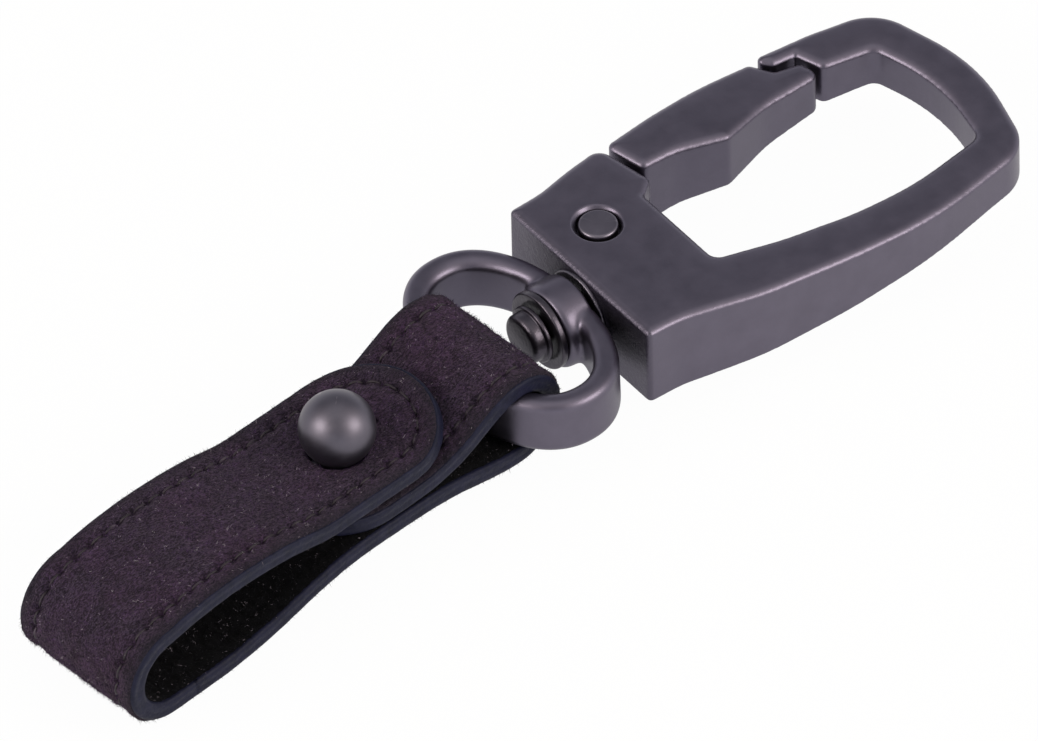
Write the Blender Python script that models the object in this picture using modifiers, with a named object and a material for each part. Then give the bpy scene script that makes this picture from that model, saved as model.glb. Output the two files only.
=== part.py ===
"""Snap hook key holder: a cast swivel hook with a sprung gate, on a leather strap with a ball button.

The hook lies flat, with its length along X, its gate on the +Y side and its thickness along Z. The origin is
the middle of the hook's opening, on the swivel's axis. The strap runs away from the hook along -X: it
wraps the ring's far bar, is clamped to itself by the ball stud, folds back at the far end and buttons over
the ball.
"""
import math

import bmesh
import bpy
from mathutils import Matrix, Vector

MM = 0.001

# Running clearance between pieces that touch or move on each other.
GAP = 0.3 * MM

# Hook casting, measured from the flat end of its block along X.
HOOK_LENGTH = 45.7 * MM
BLOCK_LENGTH = 10.85 * MM
BLOCK_WIDTH = 20.6 * MM
BLOCK_THICKNESS = 8.7 * MM
TIP_THICKNESS = 4.1 * MM
BOW_WIDTH = 26.0 * MM
LONG_BAR_WIDTH = 4.65 * MM
END_BAR_WIDTH = 3.75 * MM
ARM_WIDTH = 3.7 * MM
EDGE_RADIUS = 0.6 * MM
TAPER_SLICES = 10

# Gate, its lapped tip and the nose lip that stops it.
LAP_LENGTH = 4.9 * MM
LIP_THICKNESS = 1.6 * MM
GATE_GAP = 0.7 * MM
GATE_WIDTH = 4.9 * MM
THUMB_RISE = 1.6 * MM
TONGUE_THICKNESS = 2.8 * MM
GATE_SINK = 0.35 * MM
GATE_SWING = math.radians(28)

# Gate pin, with a flat head sunk in the top of the block.
PIN_X = 5.05 * MM
PIN_Y = 4.05 * MM
PIN_RADIUS = 0.9 * MM
PIN_HEAD_RADIUS = 1.75 * MM
PIN_HEAD_HEIGHT = 0.9 * MM
HEAD_GROOVE = 0.35 * MM
HEAD_CHAMFER = 0.4 * MM
EYE_WALL = 0.8 * MM

# Closing spring, in a blind pocket across the block.
SPRING_X = 7.75 * MM
SPRING_RADIUS = 1.1 * MM
SPRING_WIRE = 0.24 * MM
SPRING_TURNS = 6
POCKET_RADIUS = 1.65 * MM
POCKET_FLOOR = -5.5 * MM
HEEL_LENGTH = 4.4 * MM

# Swivel: a headed stud through a washer, the ring's hub and a spacer, into the block.
STUD_RADIUS = 1.2 * MM
STUD_DEPTH = 4.4 * MM
SPACER_RADIUS = 3.95 * MM
SPACER_THICKNESS = 0.9 * MM
HUB_RADIUS = 4.15 * MM
HUB_LENGTH = 2.7 * MM
WASHER_RADIUS = 3.9 * MM
WASHER_THICKNESS = 0.7 * MM
BUTTON_RADIUS = 2.8 * MM
BUTTON_HEIGHT = 0.9 * MM
BUTTON_STEP_RADIUS = 2.1 * MM
BUTTON_STEP_HEIGHT = 0.8 * MM

# Oval ring: half axes of its outline, and its band's section.
RING_HALF_LENGTH = 7.7 * MM
RING_HALF_WIDTH = 12.3 * MM
RING_SQUARENESS = 2.2
RING_BAND = 2.15 * MM
RING_HEIGHT = 5.9 * MM
RING_EDGE_RADIUS = 1.0 * MM
RING_CENTRE_X = -8.1 * MM
RING_CENTRE_Y = -0.3 * MM

# Strap: suede outside, lining inside, with a glue line between them.
STRAP_WIDTH = 14.6 * MM
SUEDE_THICKNESS = 1.0 * MM
LINING_THICKNESS = 0.8 * MM
STRAP_YAW = math.radians(6)
STRAP_Y = -0.9 * MM
WRAP_CLEARANCE = 0.45 * MM
BOTTOM_LEVEL = -2.75 * MM
STUD_REACH = 16.55 * MM
STUD_SIDE = -0.6 * MM
FLAT_REACH = 3.9 * MM
FOLD_REACH = 43.6 * MM
FOLD_RADIUS = 4.45 * MM
FOLD_LEVEL = -1.6 * MM
FLAP_OVERHANG = 10.95 * MM

# Ball stud and the screw that holds it through the strap.
BALL_RADIUS = 3.6 * MM
BALL_RISE = 2.3 * MM
NECK_RADIUS = 1.9 * MM
FLANGE_RADIUS = 3.6 * MM
FLANGE_THICKNESS = 0.5 * MM
FLANGE_RECESS = 0.5 * MM
SCREW_RADIUS = 1.0 * MM
SCREW_HEAD_RADIUS = 3.2 * MM
SCREW_HEAD_HEIGHT = 0.9 * MM
SCREW_SLOT = 0.6 * MM
BUTTONHOLE_SLIT = 2.9 * MM
SLIT_WIDTH = 0.4 * MM

# Places that several pieces share.
THROAT_X = (BLOCK_LENGTH + HOOK_LENGTH - END_BAR_WIDTH) / 2
EYE_RADIUS = PIN_RADIUS + GAP + EYE_WALL
HEEL_Y = PIN_Y - EYE_RADIUS
ROOT_X = BLOCK_LENGTH + 2.5 * MM
STEP_X = HOOK_LENGTH - 10.6 * MM
HINGE_X = RING_CENTRE_X - RING_HALF_LENGTH + 0.76 * RING_BAND
STRAP_THICKNESS = SUEDE_THICKNESS + GAP + LINING_THICKNESS
WRAP_RADIUS = RING_HEIGHT / 2 + WRAP_CLEARANCE + STRAP_THICKNESS / 2
LAYER_PITCH = STRAP_THICKNESS + GAP + 0.05 * MM
INNER_LEVEL = BOTTOM_LEVEL + LAYER_PITCH
FLANGE_Z = INNER_LEVEL + STRAP_THICKNESS / 2 - FLANGE_RECESS + GAP
FLAP_LEVEL = FLANGE_Z + FLANGE_THICKNESS + GAP + STRAP_THICKNESS / 2
BALL_Z = FLAP_LEVEL + STRAP_THICKNESS / 2 + BALL_RISE
SCREW_TOP = BALL_Z - BALL_RADIUS / 2


def clear_scene():
    for item in list(bpy.data.objects):
        bpy.data.objects.remove(item, do_unlink=True)


def new_collection(name):
    collection = bpy.data.collections.new(name)
    bpy.context.scene.collection.children.link(collection)
    return collection


def new_material(name, colour, roughness, metallic):
    material = bpy.data.materials.new(name)
    material.use_nodes = True
    shader = material.node_tree.nodes["Principled BSDF"]
    shader.inputs["Base Color"].default_value = (*colour, 1)
    shader.inputs["Roughness"].default_value = roughness
    shader.inputs["Metallic"].default_value = metallic
    material.diffuse_color = (*colour, 1)
    return material


def empty(name, location, yaw=0.0):
    """Carries the pieces of one group at their place."""
    item = bpy.data.objects.new(name, None)
    item.location = location
    item.rotation_euler = (0, 0, yaw)
    parts.objects.link(item)
    return item


def finish_part(item, parent, colour, roughness=0.35, metallic=1.0):
    """Give a piece its own material, its parent and smooth shading."""
    item.data.materials.clear()
    item.data.materials.append(new_material(item.name, colour, roughness, metallic))
    item.parent = parent
    item.data.shade_smooth()
    item.data.set_sharp_from_angle(angle=math.radians(30))
    return item


def mesh_object(name, collection, mesh):
    item = bpy.data.objects.new(name, mesh)
    collection.objects.link(item)
    if collection is cutters:
        item.hide_render = True
        item.display_type = "WIRE"
    return item


def curve_to_mesh(name, collection, curve):
    """Turn curve data into a mesh object with its caps welded on."""
    holder = bpy.data.objects.new(name + "_curve", curve)
    bpy.context.scene.collection.objects.link(holder)
    graph = bpy.context.evaluated_depsgraph_get()
    mesh = bpy.data.meshes.new_from_object(holder.evaluated_get(graph))
    bpy.data.objects.remove(holder, do_unlink=True)
    shell = bmesh.new()
    shell.from_mesh(mesh)
    bmesh.ops.remove_doubles(shell, verts=shell.verts, dist=0.001 * MM)
    shell.to_mesh(mesh)
    shell.free()
    mesh.name = name
    return mesh_object(name, collection, mesh)


def poly_curve(name, points, cyclic):
    curve = bpy.data.curves.new(name, "CURVE")
    spline = curve.splines.new("POLY")
    spline.points.add(len(points) - 1)
    for place, point in zip(spline.points, points):
        place.co = (*point, 1)
    spline.use_cyclic_u = cyclic
    return curve


def plate(name, collection, outline, low, high, edge=0.0):
    """A flat plate with the given outline between two heights, its rims rounded by edge."""
    curve = poly_curve(name, [(x, y, 0) for x, y in outline], True)
    curve.dimensions = "2D"
    curve.fill_mode = "BOTH"
    curve.extrude = (high - low) / 2 - edge
    curve.bevel_depth = edge
    curve.bevel_resolution = 1
    curve.offset = -edge
    item = curve_to_mesh(name, collection, curve)
    item.data.transform(Matrix.Translation((0, 0, (high + low) / 2)))
    return item


def turned(name, collection, profile, steps=32):
    """A solid of revolution about Z. The profile holds (radius, z), outer side from top to bottom."""
    mesh = bpy.data.meshes.new(name)
    count = len(profile)
    mesh.from_pydata([(r, 0, z) for r, z in profile], [(i, i + 1) for i in range(count - 1)], [])
    item = mesh_object(name, collection, mesh)
    screw = item.modifiers.new("turn", "SCREW")
    screw.steps = steps
    screw.render_steps = steps
    screw.use_merge_vertices = True
    screw.merge_threshold = 0.00001
    return item


def cylinder(name, radius, low, high, steps=32, radius_low=None):
    """A cutter along Z between two heights; radius_low gives it a cone's lower end."""
    if radius_low is None:
        radius_low = radius
    shell = bmesh.new()
    place = Matrix.Translation((0, 0, (low + high) / 2))
    bmesh.ops.create_cone(shell, cap_ends=True, segments=steps, radius1=radius_low, radius2=radius,
                          depth=high - low, matrix=place)
    mesh = bpy.data.meshes.new(name)
    shell.to_mesh(mesh)
    shell.free()
    return mesh_object(name, cutters, mesh)


def box(name, low, high):
    shell = bmesh.new()
    size = [b - a for a, b in zip(low, high)]
    middle = [(a + b) / 2 for a, b in zip(low, high)]
    bmesh.ops.create_cube(shell, size=1, matrix=Matrix.Translation(middle) @ Matrix.Diagonal((*size, 1)))
    mesh = bpy.data.meshes.new(name)
    shell.to_mesh(mesh)
    shell.free()
    return mesh_object(name, cutters, mesh)


def boolean(item, tool, operation="DIFFERENCE"):
    modifier = item.modifiers.new(tool.name, "BOOLEAN")
    modifier.operation = operation
    modifier.solver = "EXACT"
    modifier.object = tool


def place(tool, parent, location=(0, 0, 0), rotation=(0, 0, 0)):
    tool.location = location
    tool.rotation_euler = rotation
    tool.parent = parent
    return tool


def set_origin(item, point):
    """Move a piece's origin to point in its frame, where its joint's axis is, without moving its mesh."""
    item.data.transform(Matrix.Translation(-Vector(point)))
    item.location = point


def rounded(corners, step=math.radians(9)):
    """The closed outline through corners (x, y, radius), each rounded by its own arc."""
    points = []
    count = len(corners)
    for index, (x, y, radius) in enumerate(corners):
        here = Vector((x, y))
        back = (Vector(corners[index - 1][:2]) - here).normalized()
        ahead = (Vector(corners[(index + 1) % count][:2]) - here).normalized()
        if radius == 0:
            points.append(tuple(here))
            continue
        half = back.angle(ahead) / 2
        centre = here + (back + ahead).normalized() * radius / math.sin(half)
        start = here + back * radius / math.tan(half) - centre
        sweep = start.angle_signed(here + ahead * radius / math.tan(half) - centre)
        pieces = max(2, math.ceil(abs(sweep) / step))
        for k in range(pieces + 1):
            points.append(tuple(centre + Matrix.Rotation(-sweep * k / pieces, 2) @ start))
    return points


def thickness_at(x):
    """The casting thins in a smooth S from the block's end to the bow's end bar."""
    share = min(max(x / (HOOK_LENGTH - END_BAR_WIDTH), 0), 1)
    return TIP_THICKNESS + (BLOCK_THICKNESS - TIP_THICKNESS) * (1 + math.cos(math.pi * share)) / 2


def cast_plate(name, outline, sink=0.0):
    """A piece of the casting: a rounded plate, cut into slices so that it thins smoothly to the tip.

    Its faces are sunk by sink on both sides.
    """
    item = plate(name, parts, outline, -BLOCK_THICKNESS / 2, BLOCK_THICKNESS / 2, EDGE_RADIUS)
    shell = bmesh.new()
    shell.from_mesh(item.data)
    bmesh.ops.triangulate(shell, faces=shell.faces)
    for k in range(1, TAPER_SLICES):
        everything = list(shell.verts) + list(shell.edges) + list(shell.faces)
        station = (HOOK_LENGTH * k / TAPER_SLICES, 0, 0)
        bmesh.ops.bisect_plane(shell, geom=everything, plane_co=station, plane_no=(1, 0, 0),
                               dist=0.01 * MM)
    bmesh.ops.remove_doubles(shell, verts=shell.verts, dist=0.01 * MM)
    for vertex in shell.verts:
        vertex.co.z *= (thickness_at(vertex.co.x) - 2 * sink) / BLOCK_THICKNESS
    shell.to_mesh(item.data)
    shell.free()
    return item


def hook_outline():
    """Block, long bar, end bar, arm and nose lip in one closed line, counter-clockwise from above."""
    block = BLOCK_WIDTH / 2
    bow = BOW_WIDTH / 2
    inside = bow - LONG_BAR_WIDTH
    arm = bow - 1.6 * MM
    end_radius = 0.75 * BOW_WIDTH
    corner = 0.17 * BOW_WIDTH
    throat_end = HOOK_LENGTH - END_BAR_WIDTH + 0.4 * MM
    nose_x = STEP_X - LAP_LENGTH
    return rounded([
        (0, -block, 0.8 * MM),
        (3.5 * MM, -block - 0.1 * MM, 12 * MM),
        (BLOCK_LENGTH + 1.05 * MM, -(bow - 0.78 * MM), 30 * MM),
        (THROAT_X - 5.2 * MM, -bow - 0.05 * MM, 55 * MM),
        (THROAT_X + 4.2 * MM, -bow - 0.05 * MM, 45 * MM),
        (HOOK_LENGTH - 2.45 * MM, -(bow - 2.5 * MM), 0.9 * corner),
        (HOOK_LENGTH + 0.8 * MM, 0.06 * bow, end_radius),
        (HOOK_LENGTH - 2.4 * MM, arm + 0.5 * MM, 1.1 * corner),
        (nose_x, bow + 0.75 * MM, 0.65 * MM),
        (nose_x + 0.35 * MM, bow + 0.65 * MM - LIP_THICKNESS, 0.65 * MM),
        (STEP_X - 0.6 * MM, bow + 0.35 * MM - LIP_THICKNESS, 0.3 * MM),
        (STEP_X, bow - ARM_WIDTH - 0.2 * MM, 0.7 * MM),
        (throat_end - 1.95 * MM, arm + 0.5 * MM - ARM_WIDTH, 1.4 * MM),
        (throat_end + 0.15 * MM, 0.08 * bow, end_radius),
        (throat_end - 1.5 * MM, -(inside - 1.45 * MM), 1.6 * MM),
        (THROAT_X + 5.5 * MM, -inside - 0.05 * MM, 35 * MM),
        (THROAT_X - 1.6 * MM, -inside - 0.05 * MM, 35 * MM),
        (BLOCK_LENGTH + 6.7 * MM, -(inside - 0.9 * MM), 30 * MM),
        (BLOCK_LENGTH, -(inside - 2.6 * MM), 1.3 * MM),
        (BLOCK_LENGTH, PIN_Y + 0.8 * MM, 0.6 * MM),
        (ROOT_X - GATE_GAP, PIN_Y + 2.2 * MM, 0.65 * MM),
        (ROOT_X - GATE_GAP - 1.2 * MM, bow - 1.15 * MM, 1.3 * MM),
        (7.4 * MM, block + 1.0 * MM, 8 * MM),
        (3.4 * MM, block + 0.15 * MM, 10 * MM),
        (0, block, 0.8 * MM),
    ])


def gate_outline():
    """The gate from above, from its root beside the block to the lapped tip under the nose lip."""
    bow = BOW_WIDTH / 2
    nose_x = STEP_X - LAP_LENGTH
    inner = bow - GATE_WIDTH
    tip_x = STEP_X - GATE_GAP + 0.1 * MM
    lap_y = bow - LIP_THICKNESS - GATE_GAP + 0.2 * MM
    thumb_x = (ROOT_X + STEP_X) / 2 - 2.1 * MM
    back = nose_x - ROOT_X
    return rounded([
        (ROOT_X, inner - 0.1 * MM, 0.65 * MM),
        (ROOT_X + 3.8 * MM, inner - 0.1 * MM, 8 * MM),
        (thumb_x, inner - THUMB_RISE + 0.1 * MM, 0.9 * MM),
        (thumb_x + 5.4 * MM, inner, 14 * MM),
        (tip_x, inner + 0.6 * MM, 0.9 * MM),
        (tip_x - 0.6 * MM, lap_y, 0.8 * MM),
        (nose_x - 0.15 * MM, lap_y + 0.5 * MM, 0.6 * MM),
        (nose_x - 0.75 * MM, bow + 0.2 * MM, 0.8 * MM),
        (ROOT_X + 0.655 * back, bow + 0.45 * MM, 2.4 * back),
        (ROOT_X + 0.267 * back, bow - 0.1 * MM, 1.8 * back),
        (ROOT_X - 1.0 * MM, bow - 0.85 * MM, 0.7 * MM),
    ])


def swung(point, angle, push=0.0):
    """A point turned about the gate pin, and moved straight out from it by push."""
    pin = Vector((PIN_X, PIN_Y))
    spoke = Matrix.Rotation(angle, 2) @ (Vector(point) - pin)
    return tuple(pin + spoke * (1 + push / spoke.length))


def tongue_outline(grow, swing):
    """The gate's tongue round its pin; grown and swept through the swing, it is the block's slot."""
    radius = EYE_RADIUS + grow
    turn = 0.5 * grow / (ROOT_X - PIN_X)
    root_top = swung((ROOT_X - 0.1 * MM, BOW_WIDTH / 2 - 1.7 * MM), turn, 6 * grow)
    root_low = swung((ROOT_X + 0.6 * MM, PIN_Y + 3.9 * MM), -swing - turn, 5 * grow)
    heel = swung((PIN_X + HEEL_LENGTH, HEEL_Y), -swing, grow)
    to_root = Vector(root_top) - Vector((PIN_X, PIN_Y))
    first = math.atan2(to_root.y, to_root.x) + math.acos(radius / to_root.length)
    last = math.radians(270) - swing
    arc = [(PIN_X + radius * math.cos(a), PIN_Y + radius * math.sin(a))
           for a in (first + (last - first) * k / 16 for k in range(17))]
    return [root_top, *arc, heel, root_low]


def make_hook_body(frame):
    body = cast_plate("hook_body", hook_outline())
    reach = BLOCK_THICKNESS
    slot_half = TONGUE_THICKNESS / 2 + GAP
    top = thickness_at(PIN_X) / 2
    slot = plate("gate_slot", cutters, tongue_outline(GAP, GATE_SWING), -slot_half, slot_half)
    boolean(body, place(slot, frame))
    pin_at = (PIN_X, PIN_Y, 0)
    boolean(body, place(cylinder("pin_bore", PIN_RADIUS + GAP, -reach, reach), frame, pin_at))
    floor = top - PIN_HEAD_HEIGHT - GAP
    groove = cylinder("pin_head_seat", PIN_HEAD_RADIUS + HEAD_GROOVE, floor, reach)
    boolean(body, place(groove, frame, pin_at))
    wide = PIN_HEAD_RADIUS + HEAD_GROOVE
    chamfer = cylinder("pin_head_chamfer", wide + 3 * HEAD_CHAMFER, top - HEAD_CHAMFER,
                       top + 2 * HEAD_CHAMFER, radius_low=wide)
    boolean(body, place(chamfer, frame, pin_at))
    along_x = (0, math.radians(90), 0)
    bore = cylinder("stud_bore", STUD_RADIUS + GAP, -reach, STUD_DEPTH + GAP)
    boolean(body, place(bore, frame, rotation=along_x))
    along_y = (math.radians(-90), 0, 0)
    pocket = cylinder("spring_pocket", POCKET_RADIUS, POCKET_FLOOR, HEEL_Y)
    boolean(body, place(pocket, frame, (SPRING_X, 0, 0), along_y))
    return finish_part(body, frame, (0.10, 0.095, 0.11))


def make_gate(frame):
    gate = cast_plate("gate", gate_outline(), GATE_SINK)
    set_origin(gate, (PIN_X, PIN_Y, 0))
    half = TONGUE_THICKNESS / 2
    boolean(gate, place(plate("gate_tongue", cutters, tongue_outline(0, 0), -half, half), frame), "UNION")
    bore = cylinder("tongue_bore", PIN_RADIUS + GAP, -2 * half, 2 * half)
    boolean(gate, place(bore, frame, (PIN_X, PIN_Y, 0)))
    return finish_part(gate, frame, (0.11, 0.10, 0.12))


def make_gate_pin(frame):
    top = thickness_at(PIN_X) / 2
    under = top - PIN_HEAD_HEIGHT
    bevel = 0.2 * MM
    profile = [(0, top), (PIN_HEAD_RADIUS - bevel, top), (PIN_HEAD_RADIUS, top - bevel),
               (PIN_HEAD_RADIUS, under), (PIN_RADIUS, under), (PIN_RADIUS, -top + bevel),
               (PIN_RADIUS - bevel, -top), (0, -top)]
    pin = place(turned("gate_pin", parts, profile, 32), frame, (PIN_X, PIN_Y, 0))
    return finish_part(pin, frame, (0.13, 0.12, 0.14))


def make_gate_spring(frame):
    """One unbroken coil from the pocket's floor to the tongue's heel, its ends closed up."""
    low = POCKET_FLOOR + GAP + SPRING_WIRE
    high = HEEL_Y - GAP - SPRING_WIRE
    closed = 3.9 * SPRING_WIRE / (high - low)
    per_turn = 9
    count = SPRING_TURNS * per_turn
    points = []
    for k in range(count + 1):
        share = k / count
        end = 1 / SPRING_TURNS
        if share < end:
            rise = closed * share / end
        elif share > 1 - end:
            rise = 1 - closed * (1 - share) / end
        else:
            rise = closed + (1 - 2 * closed) * (share - end) / (1 - 2 * end)
        angle = math.tau * SPRING_TURNS * share
        points.append((SPRING_RADIUS * math.cos(angle), low + (high - low) * rise,
                       SPRING_RADIUS * math.sin(angle)))
    least = min((Vector(a) - Vector(b)).length
                for i, a in enumerate(points) for b in points[i + per_turn - 2:]) - 2 * SPRING_WIRE
    print(f"gate_spring: least gap between turns {least / MM:.2f} mm")
    curve = poly_curve("gate_spring", points, False)
    curve.dimensions = "3D"
    curve.bevel_depth = SPRING_WIRE
    curve.bevel_resolution = 1
    curve.use_fill_caps = True
    spring = place(curve_to_mesh("gate_spring", parts, curve), frame, (SPRING_X, 0, 0))
    return finish_part(spring, frame, (0.45, 0.45, 0.46))


def swivel_stations():
    """The X of each face in the swivel's stack, from the block's end outwards."""
    spacer = -GAP - SPACER_THICKNESS
    hub = spacer - GAP - HUB_LENGTH
    washer = hub - GAP - WASHER_THICKNESS
    button = washer - GAP
    return spacer, hub, washer, button


def along_swivel(item, frame):
    """Lay a turned piece with its Z along the swivel's axis, away from the block."""
    return place(item, frame, rotation=(0, math.radians(-90), 0))


def disc_profile(radius, bore, low, high, bevel):
    return [(bore, high), (radius - bevel, high), (radius, high - bevel), (radius, low + bevel),
            (radius - bevel, low), (bore, low), (bore, high)]


def make_swivel_stud(frame):
    button = -swivel_stations()[3]
    step = button + BUTTON_HEIGHT
    crown = step + BUTTON_STEP_HEIGHT
    bevel = 0.3 * MM
    profile = [(0, crown), (BUTTON_STEP_RADIUS - bevel, crown), (BUTTON_STEP_RADIUS, crown - bevel),
               (BUTTON_STEP_RADIUS, step), (BUTTON_RADIUS - bevel, step), (BUTTON_RADIUS, step - bevel),
               (BUTTON_RADIUS, button), (STUD_RADIUS, button), (STUD_RADIUS, bevel - STUD_DEPTH),
               (STUD_RADIUS - bevel, -STUD_DEPTH), (0, -STUD_DEPTH)]
    stud = along_swivel(turned("swivel_stud", parts, profile), frame)
    return finish_part(stud, frame, (0.08, 0.08, 0.085))


def make_washers(frame):
    spacer, hub, washer, _ = swivel_stations()
    bore = STUD_RADIUS + GAP
    bevel = 0.15 * MM
    sizes = (("spacer_washer", SPACER_RADIUS, GAP, -spacer),
             ("head_washer", WASHER_RADIUS, GAP - hub, -washer))
    for name, radius, low, high in sizes:
        item = along_swivel(turned(name, parts, disc_profile(radius, bore, low, high, bevel)), frame)
        finish_part(item, frame, (0.12, 0.115, 0.125), 0.5)


def make_swivel_ring(frame):
    """A closed oval band with a round hub on the swivel's axis."""
    centre_length = RING_HALF_LENGTH - RING_BAND / 2
    centre_width = RING_HALF_WIDTH - RING_BAND / 2
    power = 2 / RING_SQUARENESS
    points = []
    count = 52
    for k in range(count):
        angle = math.tau * (k + 0.5) / count
        c = math.cos(angle)
        s = math.sin(angle)
        points.append((RING_CENTRE_X + centre_length * math.copysign(abs(c) ** power, c),
                       RING_CENTRE_Y + centre_width * math.copysign(abs(s) ** power, s), 0))
    section_outline = rounded([(x * RING_BAND / 2, y * RING_HEIGHT / 2, RING_EDGE_RADIUS)
                               for x, y in ((1, -1), (1, 1), (-1, 1), (-1, -1))], math.radians(30))
    section_curve = poly_curve("ring_section", [(x, y, 0) for x, y in section_outline], True)
    section_curve.dimensions = "2D"
    section = bpy.data.objects.new("ring_section", section_curve)
    cutters.objects.link(section)
    section.hide_render = True
    curve = poly_curve("swivel_ring", points, True)
    curve.dimensions = "2D"
    curve.fill_mode = "NONE"
    curve.bevel_mode = "OBJECT"
    curve.bevel_object = section
    ring = curve_to_mesh("swivel_ring", parts, curve)
    bpy.data.objects.remove(section, do_unlink=True)
    spacer, hub, _, _ = swivel_stations()
    face = spacer - GAP
    bevel = 0.35 * MM
    bore = STUD_RADIUS + GAP
    profile = [(0, -hub), (HUB_RADIUS - bevel, -hub), (HUB_RADIUS, -hub - bevel),
               (HUB_RADIUS, bevel - face), (HUB_RADIUS - bevel, -face), (0, -face)]
    boolean(ring, along_swivel(turned("ring_hub", cutters, profile), frame), "UNION")
    reach = RING_HALF_WIDTH
    boolean(ring, place(box("hub_face", (face, -reach, -reach), (reach, reach, reach)), frame))
    hole = cylinder("hub_bore", bore, -2 * HUB_RADIUS, 2 * HUB_RADIUS)
    boolean(ring, place(hole, frame, rotation=(0, math.radians(90), 0)))
    return finish_part(ring, frame, (0.11, 0.105, 0.12), 0.4)


def smooth_run(points, steps=5):
    """A smooth line through points, as a Catmull-Rom spline, without its last point."""
    ends = [2 * points[0] - points[1], *points, 2 * points[-1] - points[-2]]
    line = []
    for a, b, c, d in zip(ends, ends[1:], ends[2:], ends[3:]):
        for k in range(steps):
            t = k / steps
            line.append(0.5 * (2 * b + (c - a) * t + (2 * a - 5 * b + 4 * c - d) * t ** 2
                               + (3 * b - a - 3 * c + d) * t ** 3))
    return line


def arc(centre, radius, first, last, pieces):
    return [centre + radius * Vector((math.cos(a), math.sin(a)))
            for a in (first + (last - first) * k / pieces for k in range(pieces + 1))]


def loop_path():
    """Centre line of the strap from under the flap, round the ring's bar and along the bottom run."""
    stud = -STUD_REACH
    level = INNER_LEVEL
    rise = WRAP_RADIUS - level
    climb = stud + FLAT_REACH
    inner = [Vector((stud - STRAP_WIDTH / 2, level)), Vector((stud - FLAT_REACH, level)),
             Vector((climb, level)), Vector((0.75 * climb, level + 0.23 * rise)),
             Vector((0.52 * climb, level + 0.54 * rise)), Vector((0.29 * climb, level + 0.83 * rise)),
             Vector((0.11 * climb, level + 0.97 * rise)), Vector((0, WRAP_RADIUS))]
    wrap = arc(Vector((0, 0)), WRAP_RADIUS, math.radians(90), math.radians(-90), 14)
    drop = BOTTOM_LEVEL + WRAP_RADIUS
    depth = FOLD_LEVEL - FOLD_RADIUS
    fall = BOTTOM_LEVEL - depth
    run = FOLD_REACH - STUD_REACH - FLAT_REACH
    flat_end = stud - FLAT_REACH
    bottom = [Vector((0, -WRAP_RADIUS)), Vector((0.13 * climb, -WRAP_RADIUS + 0.04 * drop)),
              Vector((0.36 * climb, -WRAP_RADIUS + 0.35 * drop)),
              Vector((0.66 * climb, -WRAP_RADIUS + 0.8 * drop)), Vector((climb, BOTTOM_LEVEL)),
              Vector((flat_end, BOTTOM_LEVEL)), Vector((flat_end - 0.22 * run, BOTTOM_LEVEL - 0.24 * fall)),
              Vector((flat_end - 0.45 * run, BOTTOM_LEVEL - 0.66 * fall)),
              Vector((flat_end - 0.68 * run, BOTTOM_LEVEL - 0.92 * fall)),
              Vector((flat_end - 0.88 * run, depth + 0.02 * fall))]
    return smooth_run(inner) + wrap[:-1] + smooth_run(bottom) + [bottom[-1]]


def flap_path():
    """Centre line of the fold and the flap, from the bottom run's end to the flap's tip."""
    stud = -STUD_REACH
    fold = Vector((-FOLD_REACH, FOLD_LEVEL))
    depth = FOLD_LEVEL - FOLD_RADIUS
    run = FOLD_REACH - STUD_REACH - FLAT_REACH
    start = Vector((stud - FLAT_REACH - 0.88 * run - GAP, depth + 0.02 * (BOTTOM_LEVEL - depth)))
    turn = arc(fold, FOLD_RADIUS, math.radians(-90), math.radians(-270), 16)
    over = fold.y + FOLD_RADIUS
    crest = 1.0 * MM
    climb = FLAP_OVERHANG - FLAT_REACH
    lift = 1.35 * STRAP_THICKNESS
    flat = stud + FLAT_REACH
    top = [turn[-1], Vector((-FOLD_REACH + 0.13 * run, over + 0.62 * crest)),
           Vector((-FOLD_REACH + 0.36 * run, over + crest)),
           Vector((-FOLD_REACH + 0.62 * run, over + 0.62 * crest)),
           Vector((-FOLD_REACH + 0.85 * run, FLAP_LEVEL + 0.05 * crest)),
           Vector((stud - FLAT_REACH, FLAP_LEVEL)), Vector((flat, FLAP_LEVEL)),
           Vector((flat + 0.3 * climb, FLAP_LEVEL + 0.23 * lift)),
           Vector((flat + 0.65 * climb, FLAP_LEVEL + 0.68 * lift)),
           Vector((flat + climb, FLAP_LEVEL + 1.08 * lift))]
    return [start] + turn[:-1] + smooth_run(top) + [top[-1]]


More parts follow.
